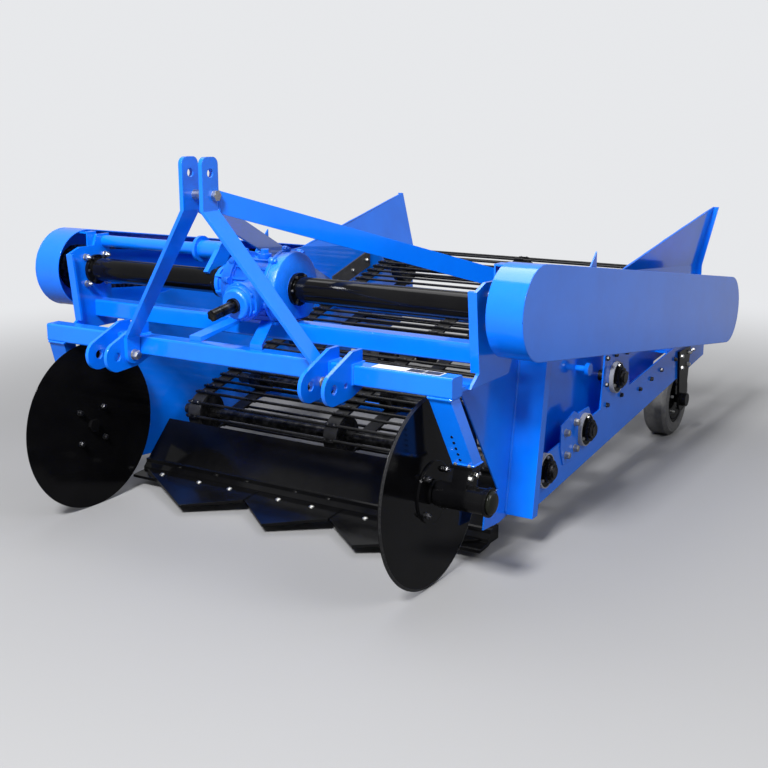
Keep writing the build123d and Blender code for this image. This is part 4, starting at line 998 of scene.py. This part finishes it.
# Discs. Flat coulters of hardened steel, painted black, whose bevelled edge is ground. A hub flange is
# held by four bolts and turns on the stub, which ends in a six-sided head.
DISC_BOLT_R = 0.078
DISC_BOLT = 0.017
HUB_FACE = 0.012
GROUND_BAND = ((0.2828, 0.0060), (0.2830, 0.0063), (0.2907, 0.0024), (0.2907, 0.0020))
dress(black_enamel, "disc_left", "disc_right")
ground_steel = finish(
    "ground edge", plated, {"Bright": (0.13, 0.13, 0.135, 1.0), "Dull": (0.055, 0.055, 0.058, 1.0)},
    relief=0.00003, rounding=0.0004, Metallic=1.0,
)
for side_name, side in (("left", 1), ("right", -1)):
    disc_bolts = bmesh.new()
    for k in range(4):
        y, z = around(DISC_Y, DISC_R, DISC_BOLT_R, math.pi / 4 + k * math.pi / 2)
        hex_nut(disc_bolts, (side * (DISC_X + HUB_FACE), y, z), (side, 0, 0), DISC_BOLT, 0.3 * k, 0.3)
        hex_head(disc_bolts, (side * DISC_X, y, z), (-side, 0, 0), DISC_BOLT, 0.5 * k)
    settle(disc_bolts, "disc_bolts_" + side_name, black_bolt, "disc_" + side_name)
    edge = bmesh.new()
    ring(edge, (side * DISC_X, DISC_Y, DISC_R), (side, 0, 0), GROUND_BAND, 96)
    settle(edge, "disc_ground_edge_" + side_name, ground_steel, "disc_" + side_name)

# Wheels. Grey solid rubber tyres pressed on steel rims, with a black hub plate bolted on each side. They
# turn on stubs of the plates that are bolted to the rails.
WHEEL_X = 0.720
WHEEL_Y = HITCH_Y + 2.131
WHEEL_R = 0.157
HUB_PLATE = ((0.0325, 0.0), (0.088, 0.0), (0.088, 0.003), (0.0325, 0.004))
HUB_PLATE_OUT = 0.0395
HUB_BOLT_OUT = 0.0430
HUB_BOLT_R = 0.062
HUB_BOLT = 0.011
TYRE_SIDE = 0.048
MOULD_LINE_R = (0.112, 0.134)
MOULD_LINE = ((-0.0012, -0.0004), (0.0012, -0.0004), (0.0009, 0.0010), (-0.0009, 0.0010))
BRACKET_PLATE_BOLTS = ((-0.044, 0.302), (0.044, 0.302), (-0.052, 0.352), (0.052, 0.352))
BRACKET_PLATE_BOLT = 0.015
BRACKET_PLATE_OUT = 0.792
grey_rubber = finish(
    "grey rubber", moulded,
    {"Tint": (0.075, 0.076, 0.080, 1.0), "Bloom": (0.22, 0.215, 0.205, 1.0), "Chalk": 0.5},
    relief=0.00015, rounding=0.003,
)
dress(grey_rubber, "wheel_tyre_left", "wheel_tyre_right")
dress(black_enamel, "wheel_rim_left", "wheel_rim_right", "wheel_bracket_left", "wheel_bracket_right")
bracket_plate_bolts = bmesh.new()
for side_name, side in (("left", 1), ("right", -1)):
    hub_plates = bmesh.new()
    hub_bolts = bmesh.new()
    mould_lines = bmesh.new()
    for face in (-1, 1):
        outward = (face, 0, 0)
        plate_x = side * WHEEL_X + face * HUB_PLATE_OUT
        ring(hub_plates, (plate_x, WHEEL_Y, WHEEL_R), outward, HUB_PLATE, 40)
        for k in range(5):
            y, z = around(WHEEL_Y, WHEEL_R, HUB_BOLT_R, math.pi / 2 + 2 * math.pi * k / 5)
            hex_head(hub_bolts, (side * WHEEL_X + face * HUB_BOLT_OUT, y, z), outward, HUB_BOLT, 0.4 * k)
        for radius in MOULD_LINE_R:
            line = tuple((radius + out, along) for out, along in MOULD_LINE)
            ring(mould_lines, (side * WHEEL_X + face * TYRE_SIDE, WHEEL_Y, WHEEL_R), outward, line, 64)
    settle(hub_plates, "wheel_hub_plates_" + side_name, black_enamel, "wheel_" + side_name)
    settle(hub_bolts, "wheel_hub_bolts_" + side_name, zinc, "wheel_" + side_name)
    settle(mould_lines, "tyre_mould_lines_" + side_name, grey_rubber, "wheel_" + side_name)
    for k, (y, z) in enumerate(BRACKET_PLATE_BOLTS):
        spot = (side * BRACKET_PLATE_OUT, WHEEL_Y + y, z)
        hex_head(bracket_plate_bolts, spot, (side, 0, 0), BRACKET_PLATE_BOLT, 0.5 * k)
settle(bracket_plate_bolts, "wheel_bracket_bolts", zinc)

# Share. Three pointed blades of wear steel, painted black and bolted flat on a folded carrier, whose
# slope lifts the ridge on to the web.
BLADE_SLOPE = math.radians(5.0)
SHARE_BOLTS_X = (-0.60, -0.425, -0.285, -0.07, 0.07, 0.285, 0.425, 0.60)
SHARE_BOLTS_Y = HITCH_Y + 0.426
SHARE_BOLTS_BACK = 0.186
TIP_Z = 0.037
SHARE_BOLT = ((0.0105, 0.0), (0.0095, 0.0030), (0.0055, 0.0055), (0.0020, 0.0062))
dress(black_enamel, "share_blades", "share_carrier")
share_bolts = bmesh.new()
blade_up = Vector((0, -math.sin(BLADE_SLOPE), math.cos(BLADE_SLOPE)))
for x in SHARE_BOLTS_X:
    spot = Vector((x, SHARE_BOLTS_Y, TIP_Z + SHARE_BOLTS_BACK * math.tan(BLADE_SLOPE)))
    turned(share_bolts, spot - blade_up * 0.0006, blade_up, SHARE_BOLT, 24)
settle(share_bolts, "share_bolts", zinc)
